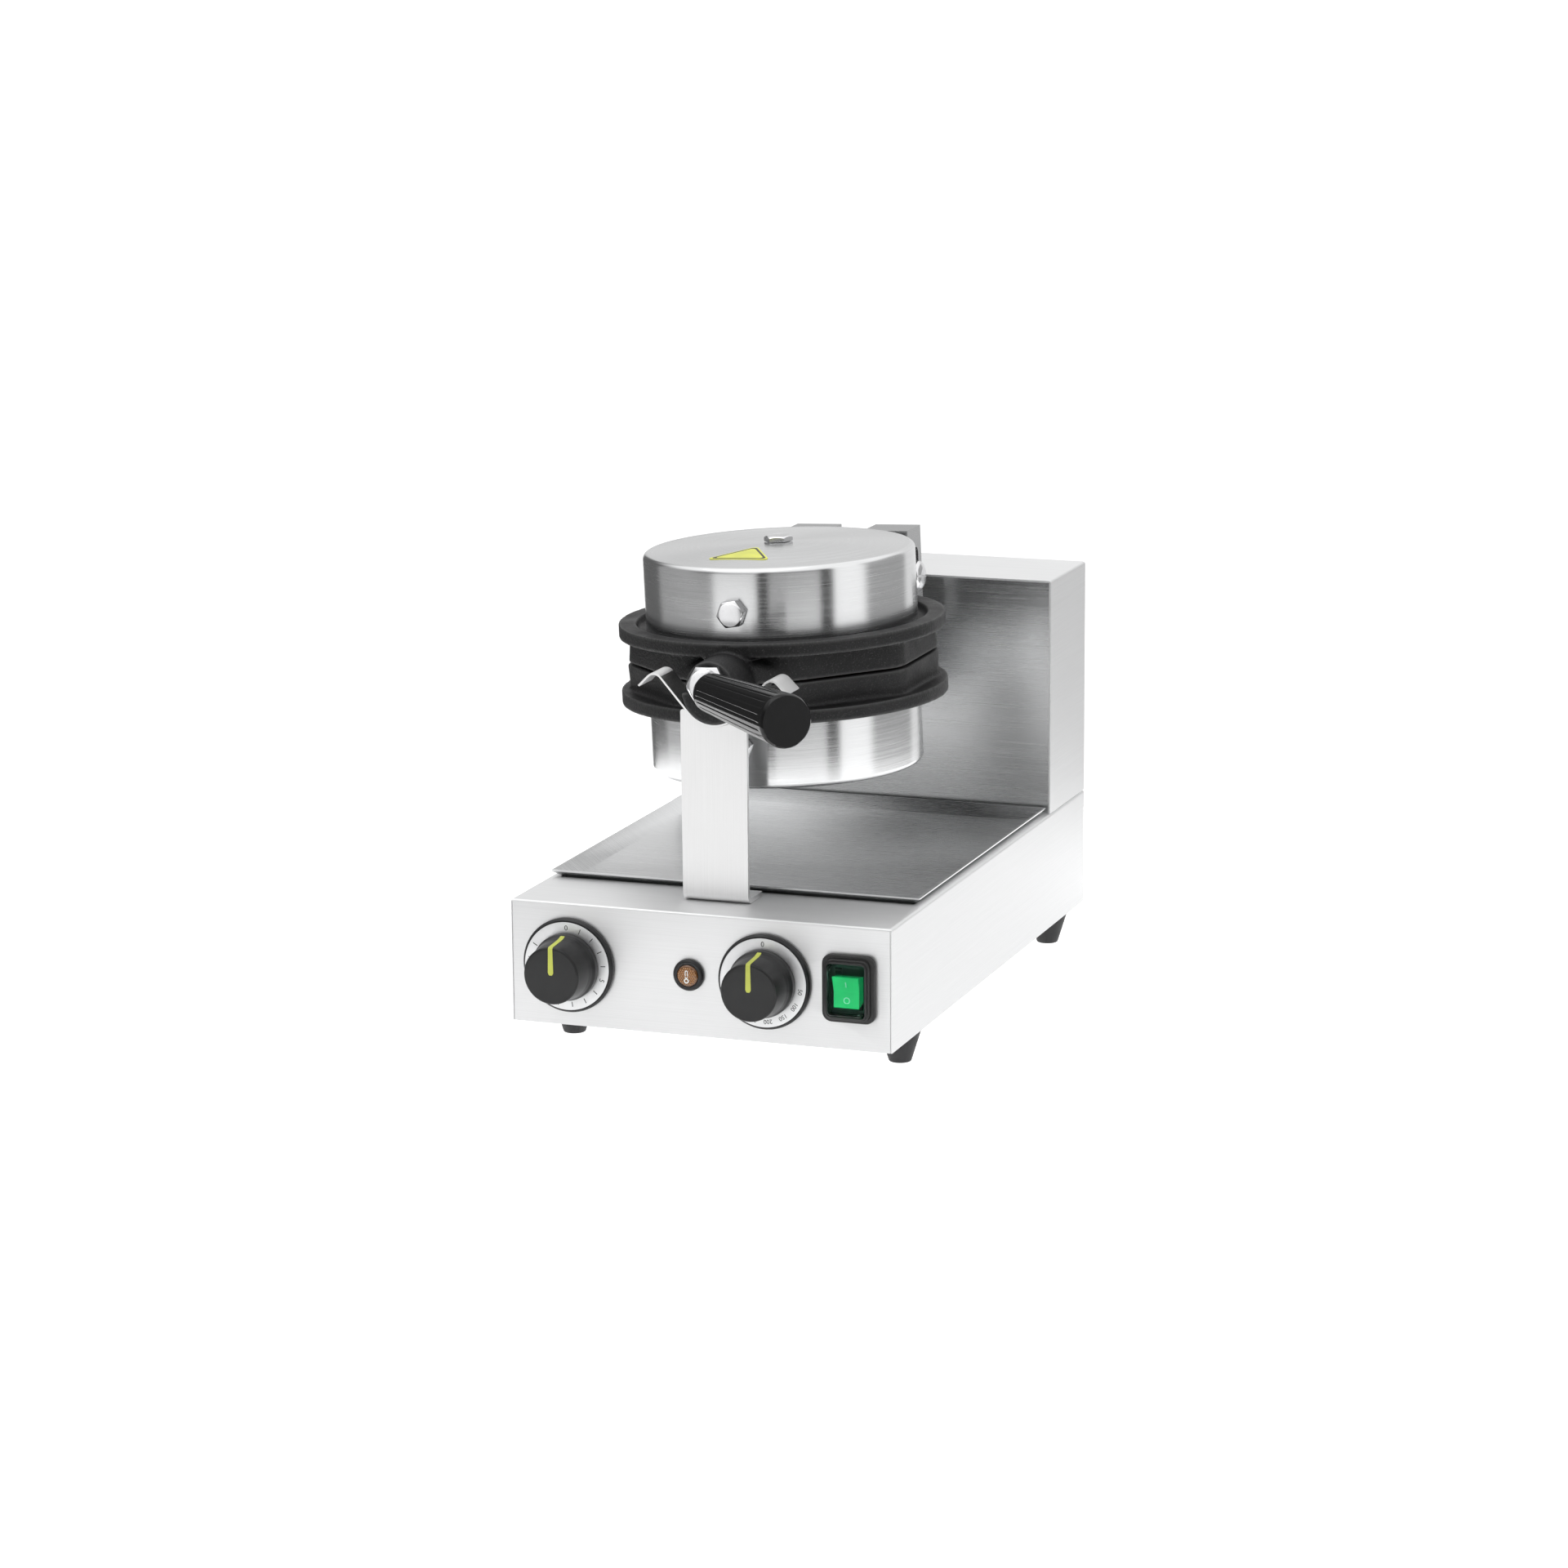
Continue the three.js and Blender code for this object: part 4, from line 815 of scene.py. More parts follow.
def pin_cap():
    """Round slotted head that closes the hinge pin, seated at z = 0."""
    outline = [(0, 0), (9.8, 0, 0.3), (9.8, 1.3, 0.8), (8.4, 3.1, 3), (5.6, 4.4, 4), (0, 4.7)]
    driver_slot = block((-12, 12), (-0.8, 0.8), (2.7, 8))
    return as_mesh(carved(make_object("cap", turned(outline, "z", 96)), [driver_slot]))


SLOT_TURN = 84
for side, name in ((-1, "pin_cap_left"), (1, "pin_cap_right")):
    seat = shift(side * (BOX_HALF + GAP), HINGE_Y, HINGE_RISE)
    out = at_rotor @ seat @ spin(90 * side, "Y") @ spin(SLOT_TURN, "Z")
    dress(settle("fine_" + name, pin_cap(), out), bright_steel, "pin", (name,))

# ---- handle --------------------------------------------------------------------------
HANDLE_BEND_Y = -194
HANDLE_YAW = 44
GRIP_START = 12.5
GRIP_LENGTH = 114
GRIP_R = (12.1, 16.5)
on_handle = at_rotor @ shift(0, HANDLE_BEND_Y, NOSE_RISE) @ spin(HANDLE_YAW, "Z")


def swept_rod(path, radius, steps=32):
    """Round bar along a path of points in one level plane."""
    shape = bmesh.new()
    rings = []
    for i, point in enumerate(path):
        here = Vector(point)
        along = (Vector(path[min(i + 1, len(path) - 1)]) - Vector(path[max(i - 1, 0)])).normalized()
        across = along.cross(Vector((0, 0, 1))).normalized()
        turns = [2 * math.pi * k / steps for k in range(steps)]
        rings.append([here + (across * math.cos(a) + Vector((0, 0, 1)) * math.sin(a)) * radius
                      for a in turns])
    skin(shape, rings)
    return shape


def bent_rod():
    yaw = math.radians(HANDLE_YAW)
    reach = 75
    far = (reach * math.sin(yaw), HANDLE_BEND_Y - reach * math.cos(yaw))
    plan = filleted([(0, NOSE_FRONT - GAP), (0, HANDLE_BEND_Y, 9), far], closed=False, steps=12)
    return swept_rod([(x, y, NOSE_RISE) for x, y in plan], 6)


piece("fine_handle_rod", bent_rod(), at_rotor, rod_steel, "lid", "bright_fastener", ("handle_rod",))
nut_shape = moved(hex_head(24, 5), spin(90, "X"), shift(0, NOSE_FRONT - GAP, NOSE_RISE))
piece("fine_handle_nut", nut_shape, at_rotor, bright_steel, "lid", "bright_fastener", ("handle_nut",))


def grip_tree():
    """Tapered grip on the y axis with shallow flutes that fade out at both ends."""
    tree = Tree("fluted_grip", inputs=[
        ("Length", "NodeSocketFloat", float(GRIP_LENGTH)), ("Start Radius", "NodeSocketFloat", GRIP_R[0]),
        ("End Radius", "NodeSocketFloat", GRIP_R[1]), ("Flutes", "NodeSocketInt", 22),
        ("Flute Depth", "NodeSocketFloat", 0.4), ("Edge", "NodeSocketFloat", 1.2),
        ("Finish", "NodeSocketMaterial", None)])
    given = tree.given
    bar = tree.add("GeometryNodeMeshCylinder", {"fill_type": "TRIANGLE_FAN"}, Vertices=352,
                   Side_Segments=60,
                   Radius=1.0, Depth=1.0)
    point = tree.add("GeometryNodeInputPosition").outputs[0]
    x, y, z = tree.add("ShaderNodeSeparateXYZ", i0=point).outputs
    along = tree.math("ADD", z, 0.5)
    radius = tree.add("ShaderNodeMapRange", i0=along, i1=0.0, i2=1.0, i3=given["Start Radius"],
                      i4=given["End Radius"]).outputs[0]
    angle = tree.math("ARCTAN2", y, x)
    wave = tree.math("COSINE", tree.math("MULTIPLY", angle, given["Flutes"]))
    dip = tree.math("POWER", tree.math("MULTIPLY", tree.math("ADD", wave, 1.0), 0.5), 14.0)
    near = tree.math("MULTIPLY", along, given["Length"])
    left = tree.math("SUBTRACT", given["Length"], near)
    clear = tree.math("MINIMUM", near, left)
    fade = tree.add("ShaderNodeMapRange", {"interpolation_type": "SMOOTHSTEP"}, i0=clear, i1=4.0,
                    i2=9.0).outputs[0]
    groove = tree.math("MULTIPLY", tree.math("MULTIPLY", dip, fade), given["Flute Depth"])
    lost = tree.math("MAXIMUM", tree.math("SUBTRACT", given["Edge"], clear), 0.0)
    square = tree.math("MULTIPLY", given["Edge"], given["Edge"])
    chord = tree.math("MAXIMUM", tree.math("SUBTRACT", square, tree.math("MULTIPLY", lost, lost)), 0.0)
    rounding = tree.math("SUBTRACT", given["Edge"], tree.math("SQRT", chord))
    final = tree.math("SUBTRACT", tree.math("SUBTRACT", radius, groove), rounding)
    shaped = tree.join(tree.math("MULTIPLY", x, final), tree.math("MULTIPLY", near, -1.0),
                       tree.math("MULTIPLY", y, final))
    grip = tree.add("GeometryNodeSetPosition", Geometry=bar.outputs["Mesh"], Position=shaped).outputs[0]
    tree.end(grip, given["Finish"])
    return tree.tree


grip_shape = bmesh.new()
grip_shape.from_mesh(grown("grip", grip_tree(), {"Finish": bakelite}))
piece("fine_handle_grip", moved(grip_shape, shift(y=-GRIP_START)), on_handle, bakelite, "lid", "bakelite",
      ("handle_grip",), 40)

# ---- front strip and cradle ----------------------------------------------------------
BRACKET_Y = -176
DECK_TOP = 100


def front_strip():
    """Flat blank with a round notch, then bent to a foot at its lower end."""
    half = 21.75
    sheet = 3.0
    bend = 6.0
    foot = 20.0
    quarter = (bend - sheet / 2) * math.pi / 2
    upright = AXIS_Z - 12 - (DECK_TOP + GAP + bend)
    top = foot + quarter + upright
    notch_z = top + 12
    notch_r = 21.8
    meet = math.degrees(math.asin(12 / notch_r))
    notch = arc(0, notch_z, notch_r, -meet, -180 + meet, 36)
    outline = [(-half, 0), (half, 0), (half, top)] + notch + [(-half, top)]
    rounded = filleted([(-half, 0, 1.5), (half, 0, 1.5), (half, top, 1.4)], steps=4)
    outline = rounded[:-5] + [(half, top - 1.4), (half - 0.4, top - 0.4), (half - 1.4, top)] + notch + [
        (-half + 1.4, top), (-half + 0.4, top - 0.4), (-half, top - 1.4)]
    shape = extruded(outline, "z", 0, sheet, 0.3)
    cuts = ([foot + quarter * k / 8 for k in range(9)] +
            [foot + quarter + upright * k / 4 for k in (1, 2, 3)])
    for s in cuts:
        geometry = shape.verts[:] + shape.edges[:] + shape.faces[:]
        bmesh.ops.bisect_plane(shape, geom=geometry, dist=0.0001, plane_co=(0, s, 0), plane_no=(0, 1, 0))
    for vertex in shape.verts:
        x, s, t = vertex.co
        if s <= foot:
            vertex.co = (x, BRACKET_Y + bend + foot - s, DECK_TOP + GAP + t)
            continue
        angle = min((s - foot) / quarter, 1) * math.pi / 2
        reach = bend - t
        rise = max(s - foot - quarter, 0)
        height = DECK_TOP + GAP + bend - reach * math.cos(angle) + rise
        vertex.co = (x, BRACKET_Y + bend - reach * math.sin(angle), height)
    return shape


piece("fine_front_bracket", front_strip(), at_base, bracket_steel, "frame", "stainless", ("front_bracket",))


def cradle_strip():
    slope = 49
    lip = 5.5
    arm = 28
    tail = 9
    ring = BOSS_R + 0.9
    leave = -(90 - slope)
    right = arc(0, 0, ring, -90, leave, 24)
    along = Vector((math.cos(math.radians(slope)), math.sin(math.radians(slope))))
    top = Vector(right[-1]) + along * arm
    centre = top + Vector((along.y, -along.x)) * lip
    curl = arc(centre.x, centre.y, lip, 90 + slope, 45, 16)
    drop = Vector((math.cos(math.radians(-45)), math.sin(math.radians(-45))))
    end = Vector(curl[-1]) + drop * tail
    right = right[1:] + curl + [tuple(end)]
    left = [(-x, z) for x, z in right][::-1]
    path = left + [(0, -ring)] + right
    shape = extruded(ribbon(path, 1.2), "y", BRACKET_Y - 1.5, BRACKET_Y + 20, 0.25)
    return moved(shape, shift(z=AXIS_Z))


piece("fine_cradle", cradle_strip(), at_base, bracket_steel, "frame", "stainless", ("cradle",))


# ---- screws --------------------------------------------------------------------------
def pan_head(radius, height, stem):
    """Round head with a cross recess, seated at z = 0, and its plain stem below."""
    outline = [(0, -stem), (2, -stem, 0.3), (2, 0), (radius, 0, 0.1), (radius, height * 0.45, 0.6),
               (radius * 0.55, height * 0.95, 0.8), (0, height)]
    head = make_object("head", turned(outline, "z", 40))
    arm = radius * 0.6
    low, top = height * 0.45, height + 1
    return carved(head, [block((-arm, arm), (-0.5, 0.5), (low, top)),
                         block((-0.5, 0.5), (-arm, arm), (height * 0.46, top))])


def screw_tree():
    """Stands a copy of one screw on every point it is given, turned at random about its axis."""
    tree = Tree("placed_screws", inputs=[
        ("Screw", "NodeSocketObject", None), ("Facing", "NodeSocketRotation", None),
        ("Seed", "NodeSocketInt", 5),
        ("Finish", "NodeSocketMaterial", None)])
    given = tree.given
    source = tree.add("GeometryNodeObjectInfo", {"transform_space": "ORIGINAL"}, Object=given["Screw"])
    points = tree.add("GeometryNodeMeshToPoints", Mesh=given["Geometry"]).outputs[0]
    turn = tree.add("FunctionNodeRandomValue", {"data_type": "FLOAT"}, Seed=given["Seed"])
    turn.inputs[2].default_value = 0.0
    turn.inputs[3].default_value = math.pi
    about = tree.join(0.0, 0.0, turn.outputs[1])
    local = tree.add("FunctionNodeEulerToRotation", Euler=about).outputs[0]
    facing = tree.add("FunctionNodeRotateRotation", {"rotation_space": "LOCAL"}, i0=given["Facing"],
                      i1=local).outputs[0]
    row = tree.add("GeometryNodeInstanceOnPoints", Points=points, Instance=source.outputs["Geometry"],
                   Rotation=facing).outputs[0]
    tree.end(row, given["Finish"])
    return tree.tree


screws_tree = screw_tree()


def screws(name, points, radius, height, stem, facing, body, replaces):
    head = pan_head(radius, height, stem)
    spots = bpy.data.meshes.new(name)
    spots.from_pydata(points, [], [])
    mesh = grown(name, screws_tree, {"Screw": head, "Facing": facing, "Finish": bright_steel}, spots)
    bpy.data.objects.remove(head)
    return dress(settle(name, mesh, at_base), bright_steel, body, replaces)


on_foot = [(x, BRACKET_Y + 18, DECK_TOP + GAP + 3 + GAP) for x in (-10, 10)]
screws("bracket_screws", on_foot, 4.8, 3, 3.2, (0, 0, 0), "frame",
       ("bracket_screw_left", "bracket_screw_right"))
on_cover = [(x, REAR_Y + GAP, 246) for x in (-110, 110)]
screws("rear_cover_screws", on_cover, 4, 2.7, 9, (-math.pi / 2, 0, 0), "frame",
       ("rear_cover_screw_left", "rear_cover_screw_right"))
underside = [(x, y, 22.2) for x in (-100, 0, 100) for y in (-196, 196)]
screws("bottom_plate_screws", underside, 3, 1.8, 0.2, (math.pi, 0, 0), "frame", ())

# ---- dials ---------------------------------------------------------------------------
BEZEL_FRONT = PANEL_Y - 4.3
SCALE_FACE = BEZEL_FRONT - GAP - 0.6
facing_front = spin(90, "X")


def bezel():
    outline = [(6, 0.0), (30, 0, 0.3), (30, 2.6, 1.2), (28.8, 4, 0.6), (28.3, 4), (28.1, 3.6), (6, 3.6)]
    return turned(outline, "z", 128, loop=True)


def scale_ring():
    return turned([(19.5, 0, 0.1), (28, 0, 0.1), (28, 0.6, 0.2), (19.5, 0.6, 0.2)], "z", 128, loop=True)


def tick_tree():
    """Radial ticks at even steps from a start angle, clockwise as seen from the front."""
    tree = Tree("dial_ticks", inputs=[
        ("Count", "NodeSocketInt", 12), ("First", "NodeSocketFloat", 20.0),
        ("Step", "NodeSocketFloat", 21.5), ("Radius", "NodeSocketFloat", 24.0),
        ("Length", "NodeSocketFloat", 2.6), ("Width", "NodeSocketFloat", 0.5),
        ("Height", "NodeSocketFloat", 0.08), ("Finish", "NodeSocketMaterial", None)])
    given = tree.given
    line = tree.add("GeometryNodeMeshLine", Count=given["Count"]).outputs[0]
    number = tree.add("GeometryNodeInputIndex").outputs[0]
    degrees = tree.math("ADD", given["First"], tree.math("MULTIPLY", number, given["Step"]))
    angle = tree.math("MULTIPLY", degrees, -math.pi / 180)
    spot = tree.join(tree.math("MULTIPLY", tree.math("SINE", angle),
                               tree.math("MULTIPLY", given["Radius"], -1.0)),
                     tree.math("MULTIPLY", tree.math("COSINE", angle), given["Radius"]), 0.0)
    spots = tree.add("GeometryNodeSetPosition", Geometry=line, Position=spot).outputs[0]
    bar = tree.add("GeometryNodeMeshCube",
                   Size=tree.join(given["Width"], given["Length"], given["Height"])).outputs[0]
    row = tree.add("GeometryNodeInstanceOnPoints", Points=spots, Instance=bar,
                   Rotation=tree.join(0.0, 0.0, angle)).outputs[0]
    tree.end(row, given["Finish"])
    return tree.tree


ticks_tree = tick_tree()


MARK_R = 24.3  # middle of the ticks and numbers
TICK_STEP = 21.5
TICK_LENGTH = 3.2


def written(text, size):
    """Flat mesh of a short text, centred, in the x-y plane."""
    data = bpy.data.curves.new("text", "FONT")
    data.body = text
    data.size = size
    data.align_x = "CENTER"
    data.align_y = "CENTER"
    data.extrude = 0.04
    holder = bpy.data.objects.new("text", data)
    bpy.context.scene.collection.objects.link(holder)
    mesh = as_mesh(holder)
    shape = bmesh.new()
    shape.from_mesh(mesh)
    return shape


def dial(prefix, x, ticks, numbers):
    """Bezel, scale ring, printed marks and knob of one control."""
    panel = at_base @ shift(x, 0, CONTROL_Z)
    on_panel = panel @ shift(y=PANEL_Y - GAP) @ facing_front
    on_scale = panel @ shift(y=BEZEL_FRONT - GAP) @ facing_front
    piece(f"fine_{prefix}_bezel", bezel(), on_panel, black_moulding, "frame", "black_moulding",
          (prefix + "_bezel",))
    piece(f"fine_{prefix}_scale", scale_ring(), on_scale, scale_plate, "frame", "scale_plate",
          (prefix + "_scale",))
    marks = bmesh.new()
    for count, first in ticks:
        values = {"Count": count, "First": first, "Step": TICK_STEP, "Radius": MARK_R,
                  "Length": TICK_LENGTH, "Finish": scale_ink}
        marks.from_mesh(grown("ticks", ticks_tree, values))
    labels = []
    for text, degrees, size in numbers:
        label = written(text, size)
        labels.append(moved(label, shift(y=MARK_R), spin(-degrees, "Z")))
    face = on_scale @ shift(z=0.62)
    whole = merged(marks, *labels)
    piece(f"{prefix}_scale_marks", whole, face, scale_ink, "frame", "black_moulding")
    knob(prefix, panel)


def knob_profile(depth):
    """Radius and height of the knob's outside, from its seat to the middle of its face."""
    return filleted([
        (21.1, 0, 0.3), (21.1, 4.2, 1.4), (19.9, 6.4, 5), (19.2, 10, 4), (18.1, depth, 1.5), (0, depth)],
        closed=False, steps=6)


def knob(prefix, panel):
    """Flared round knob with a raised pointer that runs from its face over the edge."""
    front = PANEL_Y - 31
    seat = SCALE_FACE - GAP
    depth = seat - front
    profile = knob_profile(depth)
    body = turned([(0, 0)] + profile, "z", 128)
    place = panel @ shift(y=seat) @ facing_front
    name = prefix + "_dial"
    piece(f"fine_{prefix}_knob", body, place, knob_plastic, name, "knob_plastic", (prefix + "_knob",))
    way = [Vector(p) for p in profile if p[1] > 4.4 and p[0] > 1]
    way = ([Vector((20.5, 4.9))] + [p for p in way if p.y > 5.4] +
           [Vector((r, depth)) for r in (2.2, 1.2, 0.5)])
    widths = [1.0] + [1.45] * (len(way) - 4) + [1.75, 1.4, 0.8]
    pointer = bmesh.new()
    rings = []
    for i, (spot, width) in enumerate(zip(way, widths)):
        along = (way[min(i + 1, len(way) - 1)] - way[max(i - 1, 0)]).normalized()
        out = Vector((along.y, -along.x))
        high, low = spot + out * 0.14, spot - out * 0.5
        rings.append([(-width, *high), (width, *high), (width, *low), (-width, *low)])
    skin(pointer, rings)
    piece(f"{prefix}_pointer", pointer, place, pointer_lime, name, "sticker_film")


# Ticks are (count, first angle); numbers are (text, angle, size).
dial("timer", TIMER_X, [(4, 21.5), (4, 129.0), (4, 236.5)],
     [("0", 0, 4.6), ("5", 107.5, 4.6), ("10", 215, 4.6)])
thermostat_numbers = [("0", 0, 4.6)] + [(str(50 * (i + 1)), 99 + 24.5 * i, 3.9) for i in range(6)]
dial("thermostat", THERMOSTAT_X, [], thermostat_numbers)


# ---- lamp ----------------------------------------------------------------------------
def honeycomb_tree():
    """Hexagonal studs on a close-packed grid, laid over a shallow dome."""
    tree = Tree("lens_honeycomb", inputs=[
        ("Rows", "NodeSocketInt", 11), ("Pitch", "NodeSocketFloat", 1.35),
        ("Reach", "NodeSocketFloat", 5.6),
        ("Stud Radius", "NodeSocketFloat", 0.64), ("Dome", "NodeSocketFloat", 0.022),
        ("Finish", "NodeSocketMaterial", None)])
    given = tree.given
    rows = given["Rows"]
    half = tree.math("DIVIDE", tree.math("SUBTRACT", rows, 1.0), 2.0)
    line = tree.add("GeometryNodeMeshLine", Count=tree.math("MULTIPLY", rows, rows)).outputs[0]
    index = tree.add("GeometryNodeInputIndex").outputs[0]
    row = tree.math("FLOOR", tree.math("DIVIDE", index, rows))
    column = tree.math("MODULO", index, rows)
    odd = tree.math("MULTIPLY", tree.math("MODULO", row, 2.0), 0.5)
    x = tree.math("MULTIPLY", tree.math("ADD", tree.math("SUBTRACT", column, half), odd), given["Pitch"])
    y = tree.math("MULTIPLY", tree.math("SUBTRACT", row, half),
                  tree.math("MULTIPLY", given["Pitch"], 0.866))
    square = tree.math("ADD", tree.math("MULTIPLY", x, x), tree.math("MULTIPLY", y, y))
    z = tree.math("MULTIPLY", tree.math("MULTIPLY", square, given["Dome"]), -1.0)
    spots = tree.add("GeometryNodeSetPosition", Geometry=line, Position=tree.join(x, y, z)).outputs[0]
    outside = tree.add("FunctionNodeCompare", {"data_type": "FLOAT", "operation": "GREATER_THAN"},
                       A=tree.add("ShaderNodeVectorMath", {"operation": "LENGTH"},
                                  i0=tree.add("GeometryNodeInputPosition").outputs[0]).outputs["Value"],
                       B=given["Reach"]).outputs[0]
    kept = tree.add("GeometryNodeDeleteGeometry", {"domain": "POINT"}, Geometry=spots,
                    Selection=outside).outputs[0]
    stud = tree.add("GeometryNodeMeshCone", {"fill_type": "NGON"}, Vertices=6, Side_Segments=1,
                    Radius_Top=0.34,
                    Radius_Bottom=given["Stud Radius"], Depth=0.4).outputs[0]
    field = tree.add("GeometryNodeInstanceOnPoints", Points=kept, Instance=stud).outputs[0]
    tree.end(field, given["Finish"])
    return tree.tree


on_lamp = at_base @ shift(LAMP_X, PANEL_Y - GAP, CONTROL_Z) @ facing_front
lamp_ring = turned([(6.9, 1), (6.9, 3, 0.3), (9, 3, 0.8), (10, 1.6, 0.8), (10, 0, 0.2), (6.9, 0)], "z", 96,
                   loop=True)
piece("fine_lamp_bezel", lamp_ring, on_lamp, black_moulding, "frame", "black_moulding", ("lamp_bezel",))
lens_outline = [(0, -8), (4.2, -8), (4.2, 1.2), (6.7, 1.2), (6.7, 3.2, 0.3), (5.9, 3.9, 0.4), (3.2, 4.5, 2),
                (0, 4.7)]
lens = turned(lens_outline, "z", 72)
honey = bmesh.new()
honey.from_mesh(grown("honeycomb", honeycomb_tree(), {"Finish": amber_studs}))
piece("fine_lamp_lens", lens, on_lamp, amber_glass, "frame", "amber_lens", ("lamp_lens",))
piece("lamp_honeycomb", moved(honey, shift(z=4.72)), on_lamp, amber_studs, "frame", "amber_lens")


def outlined(outer, inner, low, high):
    """Flat band between two outlines that have the same number of points."""
    shape = bmesh.new()
    levels = ((inner, low), (outer, low), (outer, high), (inner, high))
    skin(shape, [[(x, y, z) for x, y in ring] for ring, z in levels], loop=True)
    return shape


stem_mark = outlined(rounded_box(-0.95, 0.95, -0.6, 4.4, 0.9), rounded_box(-0.5, 0.5, -0.15, 3.95, 0.45),
                     4.9, 5.1)
bulb_mark = turned([(0.9, 4.9), (1.6, 4.9), (1.6, 5.1), (0.9, 5.1)], "z", 32, loop=True)
symbol = merged(stem_mark, moved(bulb_mark, shift(y=-2.2)))
piece("lamp_symbol", moved(symbol, shift(y=-0.6)), on_lamp, pale_print, "frame", "scale_plate")

# ---- rocker switch -------------------------------------------------------------------
on_switch = at_base @ shift(SWITCH_X, PANEL_Y - GAP, CONTROL_Z) @ facing_front


def switch_surround():
    """Stepped rubber frame, open in the middle."""
    shape = bmesh.new()
    levels = [((12, 16.5), 0, 2.0), ((17, 21.2), 0, 6.0), ((17, 21.2), 2.4, 6.0), ((16.5, 20.7), 3.0, 5.6),
              ((14.7, 19.2), 3.2, 5.0), ((14.5, 19.0), 5.4, 5.0), ((14.0, 18.5), 5.9, 4.6),
              ((13.3, 17.8), 6.0, 4.2), ((13.1, 17.6), 7.6, 4.2), ((12.6, 17.1), 8.0, 3.8),
              ((12.1, 16.6), 8.0, 2.2), ((12, 16.5), 7.8, 2.0)]
    rings = [[(x, y, z) for x, y in rounded_box(-w, w, -h, h, r, 6)] for (w, h), z, r in levels]
    skin(shape, rings, loop=True)
    return shape


def switch_cover():
    """Soft clear cover: a thin stepped dome over the rocker."""
    levels = [((9.8, 13.8), 10.7, 1.8), ((10.6, 15.0), 8.4, 1.8), ((11.0, 15.5), 6.2, 1.8),
              ((11.1, 15.6), 1.3, 1.8), ((11.7, 16.2), 1.3, 2.0), ((11.7, 16.2), 8.2, 2.4),
              ((11.3, 15.8), 9.2, 2.4), ((10.8, 14.9), 10.9, 2.2), ((10.2, 14.3), 11.5, 2.0)]
    shape = bmesh.new()
    skin(shape, [[(x, y, z) for x, y in rounded_box(-w, w, -h, h, r, 5)] for (w, h), z, r in levels])
    return shape


piece("fine_switch_frame", switch_surround(), on_switch, seal_rubber, "frame", "foot_rubber",
      ("switch_frame",))
piece("fine_switch_boot", switch_cover(), on_switch, boot_clear, "frame", "clear_boot", ("switch_boot",))

ROCKER_TILT = 9


def rocker_body():
    """Rocker seen from the side: two flats meeting at a shallow valley."""
    half = 10.5
    slope = half * math.tan(math.radians(ROCKER_TILT))
    outline = [(-half, 7 + slope, 0.6), (0, 6.7, 6), (half, 7 + slope, 0.6), (half - 3, -1), (3, -5),
               (-3, -5), (-half + 3, -1)]
    return extruded(filleted(outline, steps=5), "x", -8.3, 8.3, 0.5)


rocker_pivot = at_base @ shift(SWITCH_X, -204, CONTROL_Z)
at_rocker = rocker_pivot @ spin(ROCKER_TILT, "X") @ facing_front
piece("fine_switch_rocker", rocker_body(), at_rocker, rocker_green, "rocker", "green_rocker",
      ("switch_rocker",))
ring_mark = turned([(1.5, 0), (2.1, 0), (2.1, 0.12), (1.5, 0.12)], "z", 48, loop=True)
bar_mark = block((-0.3, 0.3), (-1.9, 1.9), (0, 0.12))
MARK_REACH = 5.3
MARK_RISE = 7.62
on_upper_half = shift(0, MARK_REACH, MARK_RISE) @ spin(ROCKER_TILT, "X")
on_lower_half = shift(0, -MARK_REACH, MARK_RISE) @ spin(-ROCKER_TILT, "X")
switch_marks = merged(moved(bar_mark, on_upper_half), moved(ring_mark, on_lower_half))
piece("switch_marks", switch_marks, at_rocker, pale_print, "rocker", "scale_plate")


# ---- sticker and gland ---------------------------------------------------------------
def triangle(radius, corner):
    """Outline of an upright triangle with rounded corners."""
    points = arc(0, 0, radius, 90, 330, 2)
    return filleted([(x, y, corner) for x, y in points], steps=6)


STICKER_AT = Vector((-6, -47))


def film(outlines, lift):
    """Thin film between outlines, laid on the dome; `lift` is its lower and upper height above it."""
    def laid(outline, height):
        return [(x, y, dome((Vector((x, y)) + STICKER_AT).length) + height) for x, y in outline]

    low, high = lift
    shape = bmesh.new()
    rings = ([laid(outline, high) for outline in outlines] +
             [laid(outline, low) for outline in outlines[::-1]])
    skin(shape, rings, loop=len(outlines[0]) == len(outlines[-1]))
    return shape


def scaled(outline, factor):
    """The same outline, larger or smaller about its middle."""
    return [(x * factor, y * factor) for x, y in outline]


on_sticker = at_plate @ shift(STICKER_AT.x, STICKER_AT.y)
STICKER_R = 24.5
sheet_outline = triangle(STICKER_R, 2.6)
rings_in = [[(0, 0)]] + [scaled(sheet_outline, k / 8) for k in range(1, 9)]
piece("fine_sticker", film(rings_in, (0.05, 0.4)), on_sticker, sticker_yellow, "lid", "sticker_film",
      ("warning_sticker",))
border = film([scaled(sheet_outline, 0.79), scaled(sheet_outline, 0.91)], (0.38, 0.46))
piece("sticker_border", border, on_sticker, sticker_line, "lid", "black_moulding")


def gland():
    hexes = merged(hex_head(19, 5), moved(hex_head(19, 4), shift(z=-5.8)))
    barrel = turned([(4.5, -12), (8, -12), (8, 11, 1.2), (6.2, 12, 0.6), (4.5, 12, 0.5)], "z", 64,
                    loop=True)
    return merged(hexes, barrel)


on_rear = at_base @ shift(-80, REAR_Y + GAP, 58) @ spin(-90, "X")
piece("fine_cable_gland", gland(), on_rear, black_moulding, "frame", "black_moulding", ("cable_gland",))

